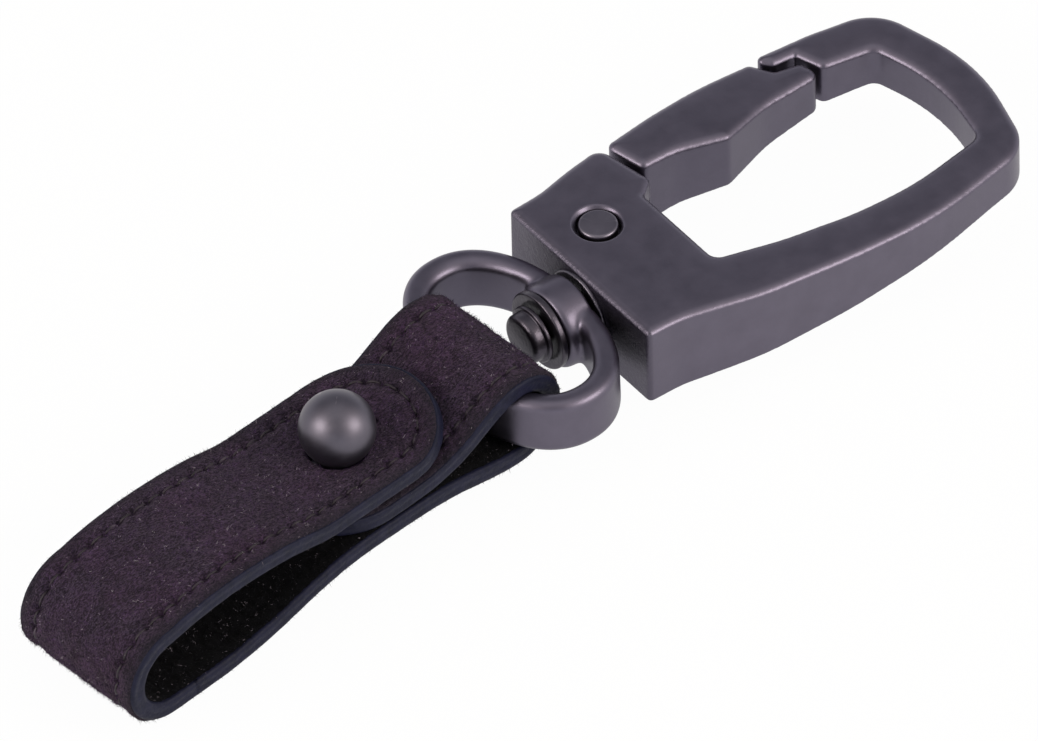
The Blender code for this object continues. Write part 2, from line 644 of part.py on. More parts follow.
def strap_layer(name, path, low, high, round_start, round_end):
    """One layer of the strap between two offsets from its centre line, outwards positive.

    The path runs clockwise, so its left side is the strap's outside. An end that is rounded narrows
    along an arc of half the strap's width, and keeps a short straight edge.
    """
    half = STRAP_WIDTH / 2
    lengths = [0.0]
    for a, b in zip(path, path[1:]):
        lengths.append(lengths[-1] + (b - a).length)
    total = lengths[-1]
    stations = set(lengths)
    arc_steps = [half * (1 - math.cos(math.radians(a))) for a in (14, 26, 38, 50, 62, 74)]
    if round_start:
        stations = {s for s in stations if s > half or s == 0} | {*arc_steps, half}
    if round_end:
        stations = {s for s in stations if s < total - half or s == total}
        stations |= {total - s for s in arc_steps} | {total - half}
    mesh = bpy.data.meshes.new(name)
    shell = bmesh.new()
    previous = None
    for station in sorted(stations):
        index = min(max(i for i, s in enumerate(lengths) if s <= station), len(path) - 2)
        share = (station - lengths[index]) / (lengths[index + 1] - lengths[index])
        here = path[index].lerp(path[index + 1], share)
        before = path[max(index - 1, 0)]
        after = path[min(index + 2, len(path) - 1)]
        ahead = (path[index + 1] - before).normalized().lerp((after - path[index]).normalized(), share)
        normal = Vector((-ahead.y, ahead.x)).normalized()
        inset = half
        if round_start:
            inset = min(inset, station)
        if round_end:
            inset = min(inset, total - station)
        width = max(math.sqrt(half ** 2 - (half - inset) ** 2), 1.2 * MM)
        row = []
        for side, offset in ((-1, low), (-1, high), (1, high), (1, low)):
            spot = here + normal * offset
            row.append(shell.verts.new((spot.x, side * width, spot.y)))
        if previous is None:
            shell.faces.new(row)
        else:
            for k in range(4):
                shell.faces.new((previous[k], previous[(k + 1) % 4], row[(k + 1) % 4], row[k]))
        previous = row
    shell.faces.new(previous)
    bmesh.ops.recalc_face_normals(shell, faces=shell.faces)
    shell.to_mesh(mesh)
    shell.free()
    return mesh_object(name, parts, mesh)


def make_strap(frame):
    """The strap's two layers, each as a loop round the ring and a flap that opens at the fold."""
    half = STRAP_THICKNESS / 2
    suede = (half - SUEDE_THICKNESS, half)
    lining = (-half, LINING_THICKNESS - half)
    loop = loop_path()
    flap = flap_path()
    stud_at = (-STUD_REACH, STUD_SIDE, 0)
    reach = 2 * BALL_RADIUS
    hole = place(cylinder("screw_hole", SCREW_RADIUS + GAP, -reach, FLANGE_Z), frame, stud_at)
    recess = cylinder("flange_recess", FLANGE_RADIUS + GAP, FLANGE_Z - GAP, FLANGE_Z + reach)
    place(recess, frame, stud_at)
    throat = FLAP_LEVEL - half
    mouth = FLAP_LEVEL + half
    drop = BALL_Z - mouth
    wide = math.sqrt(BALL_RADIUS ** 2 - drop ** 2) + GAP
    buttonhole = cylinder("buttonhole", wide, throat - GAP, mouth + GAP, radius_low=NECK_RADIUS + GAP)
    place(buttonhole, frame, stud_at)
    slit = box("buttonhole_slit", (0, -SLIT_WIDTH / 2, throat - GAP),
               (wide + BUTTONHOLE_SLIT, SLIT_WIDTH / 2, mouth + 3 * GAP))
    place(slit, frame, stud_at)
    dark = (0.045, 0.03, 0.05)
    black = (0.012, 0.012, 0.013)
    for name, layer, colour in (("suede", suede, dark), ("lining", lining, black)):
        item = strap_layer("strap_" + name, loop, *layer, True, False)
        boolean(item, hole)
        boolean(item, recess)
        finish_part(item, frame, colour, 0.95, 0.0)
        item = strap_layer("flap_" + name, flap, *layer, False, True)
        set_origin(item, (-FOLD_REACH, 0, FOLD_LEVEL))
        boolean(item, buttonhole)
        boolean(item, slit)
        finish_part(item, frame, colour, 0.95, 0.0)


def make_ball_stud(frame):
    bore = SCREW_RADIUS + GAP
    top = FLANGE_Z + FLANGE_THICKNESS
    start = math.asin(NECK_RADIUS / BALL_RADIUS)
    ball = [(BALL_RADIUS * math.sin(a), BALL_Z - BALL_RADIUS * math.cos(a))
            for a in (math.pi + (start - math.pi) * k / 13 for k in range(1, 14))]
    profile = [(0, BALL_Z + BALL_RADIUS), *ball, (NECK_RADIUS, top), (FLANGE_RADIUS, top),
               (FLANGE_RADIUS, FLANGE_Z), (bore, FLANGE_Z), (bore, SCREW_TOP), (0, SCREW_TOP)]
    stud = place(turned("ball_stud", parts, profile), frame, (-STUD_REACH, STUD_SIDE, 0))
    return finish_part(stud, frame, (0.12, 0.115, 0.13), 0.4)


def make_stud_screw(frame):
    seat = BOTTOM_LEVEL - STRAP_THICKNESS / 2 - GAP
    base = seat - SCREW_HEAD_HEIGHT
    bevel = 0.35 * MM
    profile = [(0, SCREW_TOP - GAP), (SCREW_RADIUS, SCREW_TOP - GAP), (SCREW_RADIUS, seat),
               (SCREW_HEAD_RADIUS, seat), (SCREW_HEAD_RADIUS, base + bevel),
               (SCREW_HEAD_RADIUS - bevel, base), (0, base)]
    screw = place(turned("stud_screw", parts, profile, 32), frame, (-STUD_REACH, STUD_SIDE, 0))
    reach = 2 * SCREW_HEAD_RADIUS
    slot = box("screw_slot", (-reach, -SCREW_SLOT / 2, base - GAP), (reach, SCREW_SLOT / 2, base + 1.3 * GAP))
    boolean(screw, place(slot, frame, (-STUD_REACH, STUD_SIDE, 0)))
    return finish_part(screw, frame, (0.12, 0.115, 0.13), 0.4)


clear_scene()
parts = new_collection("snap_hook")
cutters = new_collection("cutters")
hook_frame = empty("hook_frame", (-THROAT_X, 0, 0))
strap_frame = empty("strap_frame", (HINGE_X - THROAT_X, STRAP_Y, 0), STRAP_YAW)

make_hook_body(hook_frame)
make_gate(hook_frame)
make_gate_pin(hook_frame)
make_gate_spring(hook_frame)
make_swivel_stud(hook_frame)
make_washers(hook_frame)
make_swivel_ring(hook_frame)
make_strap(strap_frame)
make_ball_stud(strap_frame)
make_stud_screw(strap_frame)
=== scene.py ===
import contextlib
import math

import bmesh
import bpy
import numpy as np
from mathutils import Matrix, Vector, kdtree, noise


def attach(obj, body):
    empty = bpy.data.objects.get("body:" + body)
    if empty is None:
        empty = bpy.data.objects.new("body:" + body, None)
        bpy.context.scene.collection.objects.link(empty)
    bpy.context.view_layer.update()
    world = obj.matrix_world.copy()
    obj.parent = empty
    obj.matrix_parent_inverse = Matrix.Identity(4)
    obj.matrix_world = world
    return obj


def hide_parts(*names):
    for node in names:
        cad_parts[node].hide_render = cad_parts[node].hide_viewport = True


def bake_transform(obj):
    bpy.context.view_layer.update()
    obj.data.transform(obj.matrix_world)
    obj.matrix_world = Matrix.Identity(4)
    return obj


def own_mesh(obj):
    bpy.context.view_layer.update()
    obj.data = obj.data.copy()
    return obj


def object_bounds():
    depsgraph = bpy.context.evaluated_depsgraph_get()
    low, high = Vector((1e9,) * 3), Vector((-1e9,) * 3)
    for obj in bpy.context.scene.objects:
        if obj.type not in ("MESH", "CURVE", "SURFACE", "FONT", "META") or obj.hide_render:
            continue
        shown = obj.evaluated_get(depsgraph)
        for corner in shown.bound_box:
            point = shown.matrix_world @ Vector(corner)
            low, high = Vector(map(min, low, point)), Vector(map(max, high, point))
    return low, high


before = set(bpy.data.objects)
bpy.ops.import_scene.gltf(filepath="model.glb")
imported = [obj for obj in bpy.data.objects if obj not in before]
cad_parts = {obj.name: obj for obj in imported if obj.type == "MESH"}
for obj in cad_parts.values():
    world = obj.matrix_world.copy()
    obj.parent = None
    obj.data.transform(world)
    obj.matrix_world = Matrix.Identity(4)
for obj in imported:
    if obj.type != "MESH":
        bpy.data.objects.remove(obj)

cad_low, cad_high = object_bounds()


# --- Camera ---------------------------------------------------------------------------------
# The photograph was taken from above the strap's side and from far away: the hook's long sides
# stay parallel in it. So a long lens stands far off along the same line.
MM = 0.001
LENS = 1180.0
SENSOR = 36.0
PHOTO_WIDTH = 1038
PIXELS_PER_METRE = 10935.0


def show(name, data):
    """Put a mesh, curve, camera or lamp in the scene."""
    item = bpy.data.objects.new(name, data)
    bpy.context.scene.collection.objects.link(item)
    return item


photo_right = Vector((0.792, -0.611, -0.0155)).normalized()
photo_up = Vector((0.438, 0.5496, 0.7115))
photo_up = (photo_up - photo_right * photo_up.dot(photo_right)).normalized()
toward_camera = photo_right.cross(photo_up)
middle_of_view = Vector((-33.55, 0.3, -4.02)) * MM
camera_data = bpy.data.cameras.new("photo_camera")
camera_data.sensor_width = SENSOR
camera_data.lens = LENS
camera_data.clip_end = 20
camera = show("photo_camera", camera_data)
camera_distance = LENS / SENSOR * PHOTO_WIDTH / PIXELS_PER_METRE
camera.matrix_world = (Matrix.Translation(middle_of_view + toward_camera * camera_distance)
                       @ Matrix((photo_right, photo_up, toward_camera)).transposed().to_4x4())
bpy.context.scene.camera = camera


# --- Gunmetal finish ------------------------------------------------------------------------
# Hook, gate and ring are zinc alloy castings, tumbled smooth and plated a dark purple grey. The
# satin plate shows a fine cast grain and a slow mottle.
GUNMETAL = (0.150, 0.137, 0.182)
PLATE_ROUGHNESS = 0.36
PLATE_RELIEF = 0.011 * MM
SKIN_PER_METRE = 3100
SKIN_RELIEF = 6.0


class Wiring:
    """A shader tree. Its methods add nodes and give back the new node's output."""

    def __init__(self, tree):
        self.tree = tree
        self.spot = self.add("TexCoord")["Object"]

    def fill(self, node, inputs):
        """Link or set a node's inputs, each given by label or place as a socket or a value."""
        for label, value in inputs.items():
            if isinstance(value, bpy.types.NodeSocket):
                self.tree.links.new(value, node.inputs[label])
            else:
                node.inputs[label].default_value = value

    def add(self, kind, inputs=None, **settings):
        node = self.tree.nodes.new("ShaderNode" + kind)
        for label, value in settings.items():
            setattr(node, label, value)
        self.fill(node, inputs or {})
        return node.outputs

    def noise(self, scale, detail=3.0, roughness=0.5, at=None):
        """Noise over the piece, its scale in waves per metre."""
        return self.add("TexNoise", {"Vector": self.spot if at is None else at, "Scale": scale,
                                     "Detail": detail, "Roughness": roughness})["Fac"]

    def math(self, operation, a, b=0.0):
        return self.add("Math", {0: a, 1: b}, operation=operation)[0]

    def times(self, a, b):
        return self.math("MULTIPLY", a, b)

    def total(self, a, share, b, other_share):
        return self.math("ADD", self.times(a, share), self.times(b, other_share))

    def range(self, value, low, high, to_low=0.0, to_high=1.0):
        """Map a value from one range to another, held at both ends."""
        return self.add("MapRange", {"Value": value, "From Min": low, "From Max": high,
                                     "To Min": to_low, "To Max": to_high})["Result"]

    def mix(self, share, *colours):
        """Blend two colours, each a tuple or a socket, by a share."""
        first, second = [(*c, 1) if isinstance(c, tuple) else c for c in colours]
        return self.add("Mix", {"Factor": share, 6: first, 7: second}, data_type="RGBA")[2]

    def group(self, group, inputs=None):
        return self.add("Group", inputs, node_tree=group)


class Group(Wiring):
    """A node group with number inputs, under given, and number outputs."""

    def __init__(self, name, numbers):
        super().__init__(bpy.data.node_groups.new(name, "ShaderNodeTree"))
        for label, value in numbers.items():
            socket = self.tree.interface.new_socket(label, in_out="INPUT", socket_type="NodeSocketFloat")
            socket.default_value = value
        self.given = self.tree.nodes.new("NodeGroupInput").outputs

    def give(self, **results):
        for label in results:
            self.tree.interface.new_socket(label, in_out="OUTPUT", socket_type="NodeSocketFloat")
        self.fill(self.tree.nodes.new("NodeGroupOutput"), results)
        return self.tree


class Finish(Wiring):
    """A material with one Principled shader."""

    def __init__(self, name):
        self.material = bpy.data.materials.new(name)
        self.material.use_nodes = True
        super().__init__(self.material.node_tree)
        self.shader = self.tree.nodes["Principled BSDF"]

    def coat(self, colour, roughness, height=None, relief=0.0, **more):
        """Set the shader's colour and roughness, its relief from a height, and more of its inputs."""
        inputs = {label.replace("_", " "): value for label, value in more.items()}
        if height is not None:
            inputs["Normal"] = self.add("Bump", {"Strength": 1.0, "Distance": relief, "Height": height})["Normal"]
        self.fill(self.shader, {"Base Color": colour, "Roughness": roughness, **inputs})
        return self.material


def dimmed(colour, share):
    return tuple(channel * share for channel in colour)


# Fine cast grain: its relief, and a slow mottle in the plating over it.
casting = Group("cast_grain", {"Grains per Metre": 7000, "Mottles per Metre": 420})
wide_grain = casting.times(casting.given["Grains per Metre"], 0.3)
cast_grain = casting.give(
    Relief=casting.total(casting.noise(casting.given["Grains per Metre"], 2.0, 0.6), 0.6,
                         casting.noise(wide_grain, 2.0), 0.4),
    Mottle=casting.range(casting.noise(casting.given["Mottles per Metre"], 4.0, 0.6), 0.3, 0.7))


def plated_material(name, colour, roughness, relief, grains=7000, rough_shaded_end=None):
    """Satin gunmetal plate; between the two X of rough_shaded_end its skin grows coarse, and painted shade
    darkens it.
    """
    plate = Finish(name)
    grain = plate.group(cast_grain, {"Grains per Metre": grains})
    plate_colour = plate.mix(grain["Mottle"], dimmed(colour, 0.88), colour)
    height = grain["Relief"]
    if rough_shaded_end:
        place = plate.add("SeparateXYZ", {0: plate.spot})
        end = plate.range(place["X"], *rough_shaded_end, 1.0, 0.0)
        # Painted shade: the end face is painted darker for the shade it lies in; its coarse skin is real.
        plate_colour = plate.mix(end, plate_colour, dimmed(colour, 0.72))
        coarse = plate.noise(SKIN_PER_METRE, 3.0, 0.7)
        height = plate.math("ADD", height, plate.times(plate.times(end, SKIN_RELIEF), coarse))
    return plate.coat(plate_colour, plate.range(grain["Mottle"], 0, 1, roughness - 0.03, roughness + 0.04),
                      height, relief, Metallic=1.0)


gunmetal = plated_material("gunmetal_plate", GUNMETAL, PLATE_ROUGHNESS, PLATE_RELIEF)


# --- Hook casting ---------------------------------------------------------------------------
# The hook is one casting: a block that holds swivel and gate pin, and a bow that thins towards
# its tip and ends in a thin nose over the gate. Its outline is the solid's, drawn much finer.
HOOK_LENGTH = 45.7 * MM
BLOCK_LENGTH = 10.85 * MM
BLOCK_WIDTH = 20.6 * MM
BLOCK_THICKNESS = 8.7 * MM
TIP_THICKNESS = 4.1 * MM
BOW_WIDTH = 26.0 * MM
LONG_BAR_WIDTH = 4.65 * MM
END_BAR_WIDTH = 3.75 * MM
ARM_WIDTH = 3.7 * MM
CAST_EDGE = 0.14 * MM
CAST_GROWTH = 0.12 * MM
LAP_LENGTH = 4.9 * MM
LIP_THICKNESS = 1.6 * MM
GATE_GAP = 0.7 * MM
GAP = 0.3 * MM
THROAT_X = (BLOCK_LENGTH + HOOK_LENGTH - END_BAR_WIDTH) / 2
ROOT_X = BLOCK_LENGTH + 2.5 * MM
STEP_X = HOOK_LENGTH - 10.6 * MM
PIN_X = 5.05 * MM
PIN_Y = 4.05 * MM
PIN_RADIUS = 0.9 * MM
PIN_HEAD_RADIUS = 1.75 * MM
PIN_HEAD_HEIGHT = 0.9 * MM
HEAD_GROOVE = 0.35 * MM
HEAD_CHAMFER = 0.4 * MM
EYE_RADIUS = PIN_RADIUS + GAP + 0.8 * MM
HEEL_Y = PIN_Y - EYE_RADIUS
HEEL_LENGTH = 4.4 * MM
TONGUE_THICKNESS = 2.8 * MM
GATE_SWING = math.radians(28)
SPRING_X = 7.75 * MM
SPRING_RADIUS = 1.65 * MM
POCKET_FLOOR = -5.5 * MM
STUD_RADIUS = 1.2 * MM
STUD_BORE_DEPTH = 4.7 * MM
CROWN_RADIUS = 1.2 * MM
CROWN_WIDTH = 0.8 * MM
CROWN_REACH = 2.4 * MM
CROWN_ROLL = 0.24 * MM
CROWN_RIM = 0.4 * MM
TOP_RISE = 0.3 * MM
BOW_RISE = 0.6 * MM
BOTTOM_RISE = 0.08 * MM
CAST_VOXEL = 0.105 * MM
CAST_SLICES = 45
OUTLINE_STEP = math.radians(2.5)
RIM_STEP = 0.12 * MM
WELD = 0.001 * MM


def corner_arc(before, here, after, step=None, pieces=6):
    """The arc that rounds a corner (x, y, radius), in turns of about step or in so many pieces."""
    spot = Vector(here[:2])
    if here[2] == 0:
        return [tuple(spot)]
    back = (Vector(before[:2]) - spot).normalized()
    ahead = (Vector(after[:2]) - spot).normalized()
    half = back.angle(ahead) / 2
    centre = spot + (back + ahead).normalized() * here[2] / math.sin(half)
    start = spot + back * here[2] / math.tan(half) - centre
    sweep = start.angle_signed(spot + ahead * here[2] / math.tan(half) - centre)
    if step:
        pieces = max(3, math.ceil(abs(sweep) / step))
    return [tuple(centre + Matrix.Rotation(-sweep * k / pieces, 2) @ start) for k in range(pieces + 1)]


def rounded(corners, step=OUTLINE_STEP):
    """The closed outline through corners (x, y, radius), each rounded by its own arc."""
    threes = zip(corners[-1:] + corners[:-1], corners, corners[1:] + corners[:1])
    return [spot for three in threes for spot in corner_arc(*three, step)]


def thickness_at(x):
    """The casting thins in a smooth S from the block's end to the bow's end bar."""
    share = min(max(x / (HOOK_LENGTH - END_BAR_WIDTH), 0), 1)
    return TIP_THICKNESS + (BLOCK_THICKNESS - TIP_THICKNESS) * (1 + math.cos(math.pi * share)) / 2


def baked(item):
    """A new mesh of an item as it shows, with its modifiers applied."""
    return bpy.data.meshes.new_from_object(item.evaluated_get(bpy.context.evaluated_depsgraph_get()))


def modify(piece, kind, **settings):
    """Change a piece's mesh with one modifier."""
    modifier = piece.modifiers.new(kind, kind)
    for label, value in settings.items():
        setattr(modifier, label, value)
    mesh = baked(piece)
    piece.modifiers.clear()
    piece.data = mesh


@contextlib.contextmanager
def opened(mesh):
    """A mesh opened for editing, and written back afterwards."""
    shell = bmesh.new()
    shell.from_mesh(mesh)
    yield shell
    shell.to_mesh(mesh)
    shell.free()


def flat_plate(name, outline, low, high, edge=0.0, turns=4, growth=0.0):
    """A flat plate between two heights, its outline moved out by growth and its rims rounded by edge."""
    curve = bpy.data.curves.new(name, "CURVE")
    curve.dimensions = "2D"
    curve.fill_mode = "BOTH"
    spline = curve.splines.new("POLY")
    spline.points.add(len(outline) - 1)
    for point, (x, y) in zip(spline.points, outline):
        point.co = (x, y, 0, 1)
    spline.use_cyclic_u = True
    curve.extrude = (high - low) / 2 - edge
    curve.bevel_depth = edge
    curve.bevel_resolution = turns
    curve.offset = growth - edge
    holder = show(name, curve)
    mesh = baked(holder)
    bpy.data.objects.remove(holder, do_unlink=True)
    mesh.transform(Matrix.Translation((0, 0, (high + low) / 2)))
    with opened(mesh) as shell:
        bmesh.ops.remove_doubles(shell, verts=shell.verts, dist=WELD)
    return show(name, mesh)


def cast_blank(name, outline, sink=0.0):
    """A rounded plate, cut into slices so that it thins smoothly to the tip; sink lowers both faces."""
    item = flat_plate(name, outline, -BLOCK_THICKNESS / 2, BLOCK_THICKNESS / 2, CAST_EDGE, growth=CAST_GROWTH)
    with opened(item.data) as shell:
        bmesh.ops.triangulate(shell, faces=shell.faces)
        for k in range(1, CAST_SLICES):
            everything = list(shell.verts) + list(shell.edges) + list(shell.faces)
            bmesh.ops.bisect_plane(shell, geom=everything, plane_co=(HOOK_LENGTH * k / CAST_SLICES, 0, 0),
                                   plane_no=(1, 0, 0), dist=WELD)
        for vertex in shell.verts:
            vertex.co.z *= (thickness_at(vertex.co.x) - 2 * sink) / BLOCK_THICKNESS
    return item


def round_bar(name, radius, low, high, radius_low=None, steps=96):
    """A plain round tool along Z, used only to cut."""
    mesh = bpy.data.meshes.new(name)
    with opened(mesh) as shell:
        bmesh.ops.create_cone(shell, cap_ends=True, segments=steps, radius2=radius, depth=high - low,
                              radius1=radius if radius_low is None else radius_low,
                              matrix=Matrix.Translation((0, 0, (low + high) / 2)))
    return show(name, mesh)


def cut(piece, tool, matrix=None, operation="DIFFERENCE"):
    """Cut a tool out of a piece, or join it on, with the first solver that doesn't lose the piece."""
    if matrix is not None:
        tool.data.transform(matrix)
    whole = piece.data
    for solver in ("EXACT", "MANIFOLD", "FAST"):
        modify(piece, "BOOLEAN", operation=operation, solver=solver, object=tool)
        if len(piece.data.polygons) > len(whole.polygons) / 3:
            break
        piece.data = whole
    bpy.data.objects.remove(tool, do_unlink=True)


def soften(piece, passes, **settings):
    modify(piece, "SMOOTH", factor=0.5, iterations=passes, **settings)


def skin(piece, voxel, passes):
    """Remesh a piece into even small faces and soften its edges, as casting and tumbling do."""
    modify(piece, "REMESH", mode="VOXEL", voxel_size=voxel)
    soften(piece, passes)
    piece.data.shade_smooth()


def read_spots(mesh, what="co"):
    spots = np.empty(len(mesh.vertices) * 3)
    mesh.vertices.foreach_get(what, spots)
    return spots.reshape(-1, 3)


def write_spots(mesh, spots):
    mesh.vertices.foreach_set("co", np.asarray(spots).ravel())
    mesh.update()


def nearest(points, spots):
    """The distance from each spot to the nearest of the points, seen from above."""
    tree = kdtree.KDTree(len(points))
    for index, (x, y) in enumerate(points):
        tree.insert((x, y, 0), index)
    tree.balance()
    return np.array([tree.find((x, y, 0))[2] for x, y in spots[:, :2]])


def run_along(line):
    """The distance along a line to each of its points."""
    return np.concatenate([[0], np.cumsum(np.linalg.norm(np.diff(line, axis=0), axis=1))])


def points_at(marks, run, line):
    """The points of a flat line at distances along it."""
    return np.stack([np.interp(marks, run, line[:, k]) for k in (0, 1)], 1)


def unit(vectors):
    return vectors / np.maximum(np.linalg.norm(vectors, axis=1), 1e-12)[:, None]


def left_of(ahead):
    return np.stack([-ahead[:, 1], ahead[:, 0]], 1)


def crown_faces(piece, outline, sink=0.0):
    """Level a casting's top and bottom, and let them fall away softly towards the outline."""
    closed = np.array(outline + outline[:1])
    run = run_along(closed)
    rim = points_at(np.arange(0, run[-1], RIM_STEP), run, closed)
    rim -= CAST_GROWTH * left_of(unit(np.roll(rim, -1, 0) - np.roll(rim, 1, 0)))
    spots = read_spots(piece.data)
    upright = np.abs(read_spots(piece.data, "normal")[:, 2])
    inside = nearest(rim, spots)
    half = np.array([thickness_at(x) for x in spots[:, 0]]) / 2 - sink
    from_pin = np.hypot(spots[:, 0] - PIN_X, spots[:, 1] - PIN_Y)
    off_seat = from_pin > seat_radius + 2 * HEAD_GROOVE
    side = np.sign(spots[:, 2])
    level = (np.abs(spots[:, 2]) > 0.9 * half) & (upright > 0.98) & (inside > CROWN_RIM) & off_seat
    spots[level, 2] = (side * half)[level]
    reach = np.clip(np.abs(spots[:, 2]) / half - 0.3, 0, 0.7) / 0.7
    rim_share = np.clip(CROWN_WIDTH - inside, 0, CROWN_WIDTH)
    fall = CROWN_RADIUS - np.sqrt(CROWN_RADIUS ** 2 - rim_share ** 2)
    fall += CROWN_ROLL * np.clip(1 - inside / CROWN_REACH, 0, 1) ** 2
    rise = np.interp(spots[:, 0], (BLOCK_LENGTH, 2 * BLOCK_LENGTH), (TOP_RISE, BOW_RISE))
    spots[:, 2] += side * reach * np.where(side > 0, rise - fall, BOTTOM_RISE - 0.4 * fall)
    write_spots(piece.data, spots)
    soften(piece, 2)


def swung(point, angle, push=0.0):
    """A point turned about the gate pin, and moved straight out from it by push."""
    pin = Vector((PIN_X, PIN_Y))
    spoke = Matrix.Rotation(angle, 2) @ (Vector(point) - pin)
    return tuple(pin + spoke * (1 + push / spoke.length))


def tongue_outline(grow, swing):
    """The gate's tongue round its pin; grown and swept through the swing, it is the block's slot."""
    radius = EYE_RADIUS + grow
    turn = 0.5 * grow / (ROOT_X - PIN_X)
    root_top = swung((ROOT_X - 0.1 * MM, BOW_WIDTH / 2 - 1.7 * MM), turn, 6 * grow)
    root_low = swung((ROOT_X + 0.6 * MM, PIN_Y + 3.9 * MM), -swing - turn, 5 * grow)
    heel = swung((PIN_X + HEEL_LENGTH, HEEL_Y), -swing, grow)
    to_root = Vector(root_top) - Vector((PIN_X, PIN_Y))
    first = math.atan2(to_root.y, to_root.x) + math.acos(radius / to_root.length)
    last = math.radians(270) - swing
    eye = [(PIN_X + radius * math.cos(a), PIN_Y + radius * math.sin(a))
           for a in (first + (last - first) * k / 40 for k in range(41))]
    return [root_top, *eye, heel, root_low]


def hook_outline():
    """Block, long bar, end bar, arm and nose lip in one closed line, counter-clockwise from above."""
    block = BLOCK_WIDTH / 2
    bow = BOW_WIDTH / 2
    inside = bow - LONG_BAR_WIDTH
    arm = bow - 1.6 * MM
    end_radius = 0.75 * BOW_WIDTH
    corner = 0.17 * BOW_WIDTH
    throat_end = HOOK_LENGTH - END_BAR_WIDTH + 0.4 * MM
    nose_x = STEP_X - LAP_LENGTH
    return rounded([
        (-0.1 * MM, -block + 0.1 * MM, 0.4 * MM),
        (3.5 * MM, -block, 12 * MM),
        (BLOCK_LENGTH + 1.05 * MM, -(bow - 0.78 * MM), 30 * MM),
        (THROAT_X - 5.2 * MM, -bow - 0.05 * MM, 55 * MM),
        (THROAT_X + 4.2 * MM, -bow - 0.05 * MM, 45 * MM),
        (HOOK_LENGTH - 2.3 * MM, -(bow - 2.4 * MM), 1.1 * corner),
        (HOOK_LENGTH + 0.95 * MM, 0.06 * bow, end_radius),
        (HOOK_LENGTH - 2.15 * MM, arm + 0.75 * MM, 1.1 * corner),
        (36.6 * MM, bow + 0.35 * MM, 16 * MM),
        (nose_x, bow + 0.72 * MM, 0.5 * MM),
        (nose_x + 1.45 * MM, bow + 0.72 * MM - LIP_THICKNESS, 0.6 * MM),
        (STEP_X - 1.0 * MM, bow + 0.55 * MM - LIP_THICKNESS, 0.3 * MM),
        (STEP_X, bow - ARM_WIDTH - 0.2 * MM, 0.7 * MM),
        (throat_end - 1.95 * MM, arm + 0.5 * MM - ARM_WIDTH, 1.4 * MM),
        (throat_end + 0.15 * MM, 0.08 * bow, end_radius),
        (throat_end - 1.5 * MM, -(inside - 1.45 * MM), 1.6 * MM),
        (THROAT_X + 5.5 * MM, -inside - 0.05 * MM, 35 * MM),
        (THROAT_X - 1.6 * MM, -inside - 0.05 * MM, 35 * MM),
        (BLOCK_LENGTH + 6.7 * MM, -(inside - 0.9 * MM), 30 * MM),
        (BLOCK_LENGTH, -(inside - 2.6 * MM), 1.3 * MM),
        (BLOCK_LENGTH, PIN_Y + 0.8 * MM, 0.6 * MM),
        (ROOT_X - GATE_GAP, PIN_Y + 2.2 * MM, 0.65 * MM),
        (ROOT_X - GATE_GAP - 1.2 * MM, bow - 0.75 * MM, 1.3 * MM),
        (7.4 * MM, block + 1.25 * MM, 8 * MM),
        (3.4 * MM, block + 0.35 * MM, 10 * MM),
        (-0.1 * MM, block + 0.2 * MM, 0.4 * MM),
    ])


def finish_casting(piece, matrix, material):
    """Put a finished casting in its place in the frame, in one material."""
    piece.data.transform(matrix)
    piece.data.materials.clear()
    piece.data.materials.append(material)


in_hook = Matrix.Translation((-THROAT_X, 0, 0))
# The block's end face has a coarse cast skin and is painted darker as painted shade.
hook_metal = plated_material("hook_gunmetal_plate", GUNMETAL, PLATE_ROUGHNESS, PLATE_RELIEF,
                             rough_shaded_end=(-THROAT_X, 0.35 * MM - THROAT_X))
at_pin = Matrix.Translation((PIN_X, PIN_Y, 0))
along_x = Matrix.Rotation(math.radians(90), 4, "Y")
along_y = Matrix.Rotation(math.radians(-90), 4, "X")
slot_half = TONGUE_THICKNESS / 2 + GAP
head_top = thickness_at(PIN_X) / 2
seat_radius = PIN_HEAD_RADIUS + HEAD_GROOVE

hook = cast_blank("hook_casting", hook_outline())
cut(hook, flat_plate("gate_slot", tongue_outline(GAP, GATE_SWING), -slot_half, slot_half))
cut(hook, round_bar("pin_bore", PIN_RADIUS + GAP, -BLOCK_THICKNESS, BLOCK_THICKNESS), at_pin)
cut(hook, round_bar("head_seat", seat_radius, head_top - PIN_HEAD_HEIGHT - GAP, BLOCK_THICKNESS), at_pin)
cut(hook, round_bar("head_chamfer", seat_radius + 3 * HEAD_CHAMFER, head_top - HEAD_CHAMFER,
                    head_top + 2 * HEAD_CHAMFER, seat_radius), at_pin)
cut(hook, round_bar("stud_bore", STUD_RADIUS + GAP, -BLOCK_THICKNESS, STUD_BORE_DEPTH), along_x)
cut(hook, round_bar("spring_pocket", SPRING_RADIUS, POCKET_FLOOR, HEEL_Y),
    Matrix.Translation((SPRING_X, 0, 0)) @ along_y)
skin(hook, CAST_VOXEL, 3)
crown_faces(hook, hook_outline())
finish_casting(hook, in_hook, hook_metal)
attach(hook, "hook")
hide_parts("hook_body")


# --- Gate -----------------------------------------------------------------------------------
# The gate is a second casting, a little thinner than the hook. It has a thumb bulge inside, a tip
# that laps under the nose, and a flat tongue that turns on the pin in the block's slot.
GATE_WIDTH = 4.9 * MM
THUMB_RISE = 1.6 * MM
GATE_SINK = 0.15 * MM


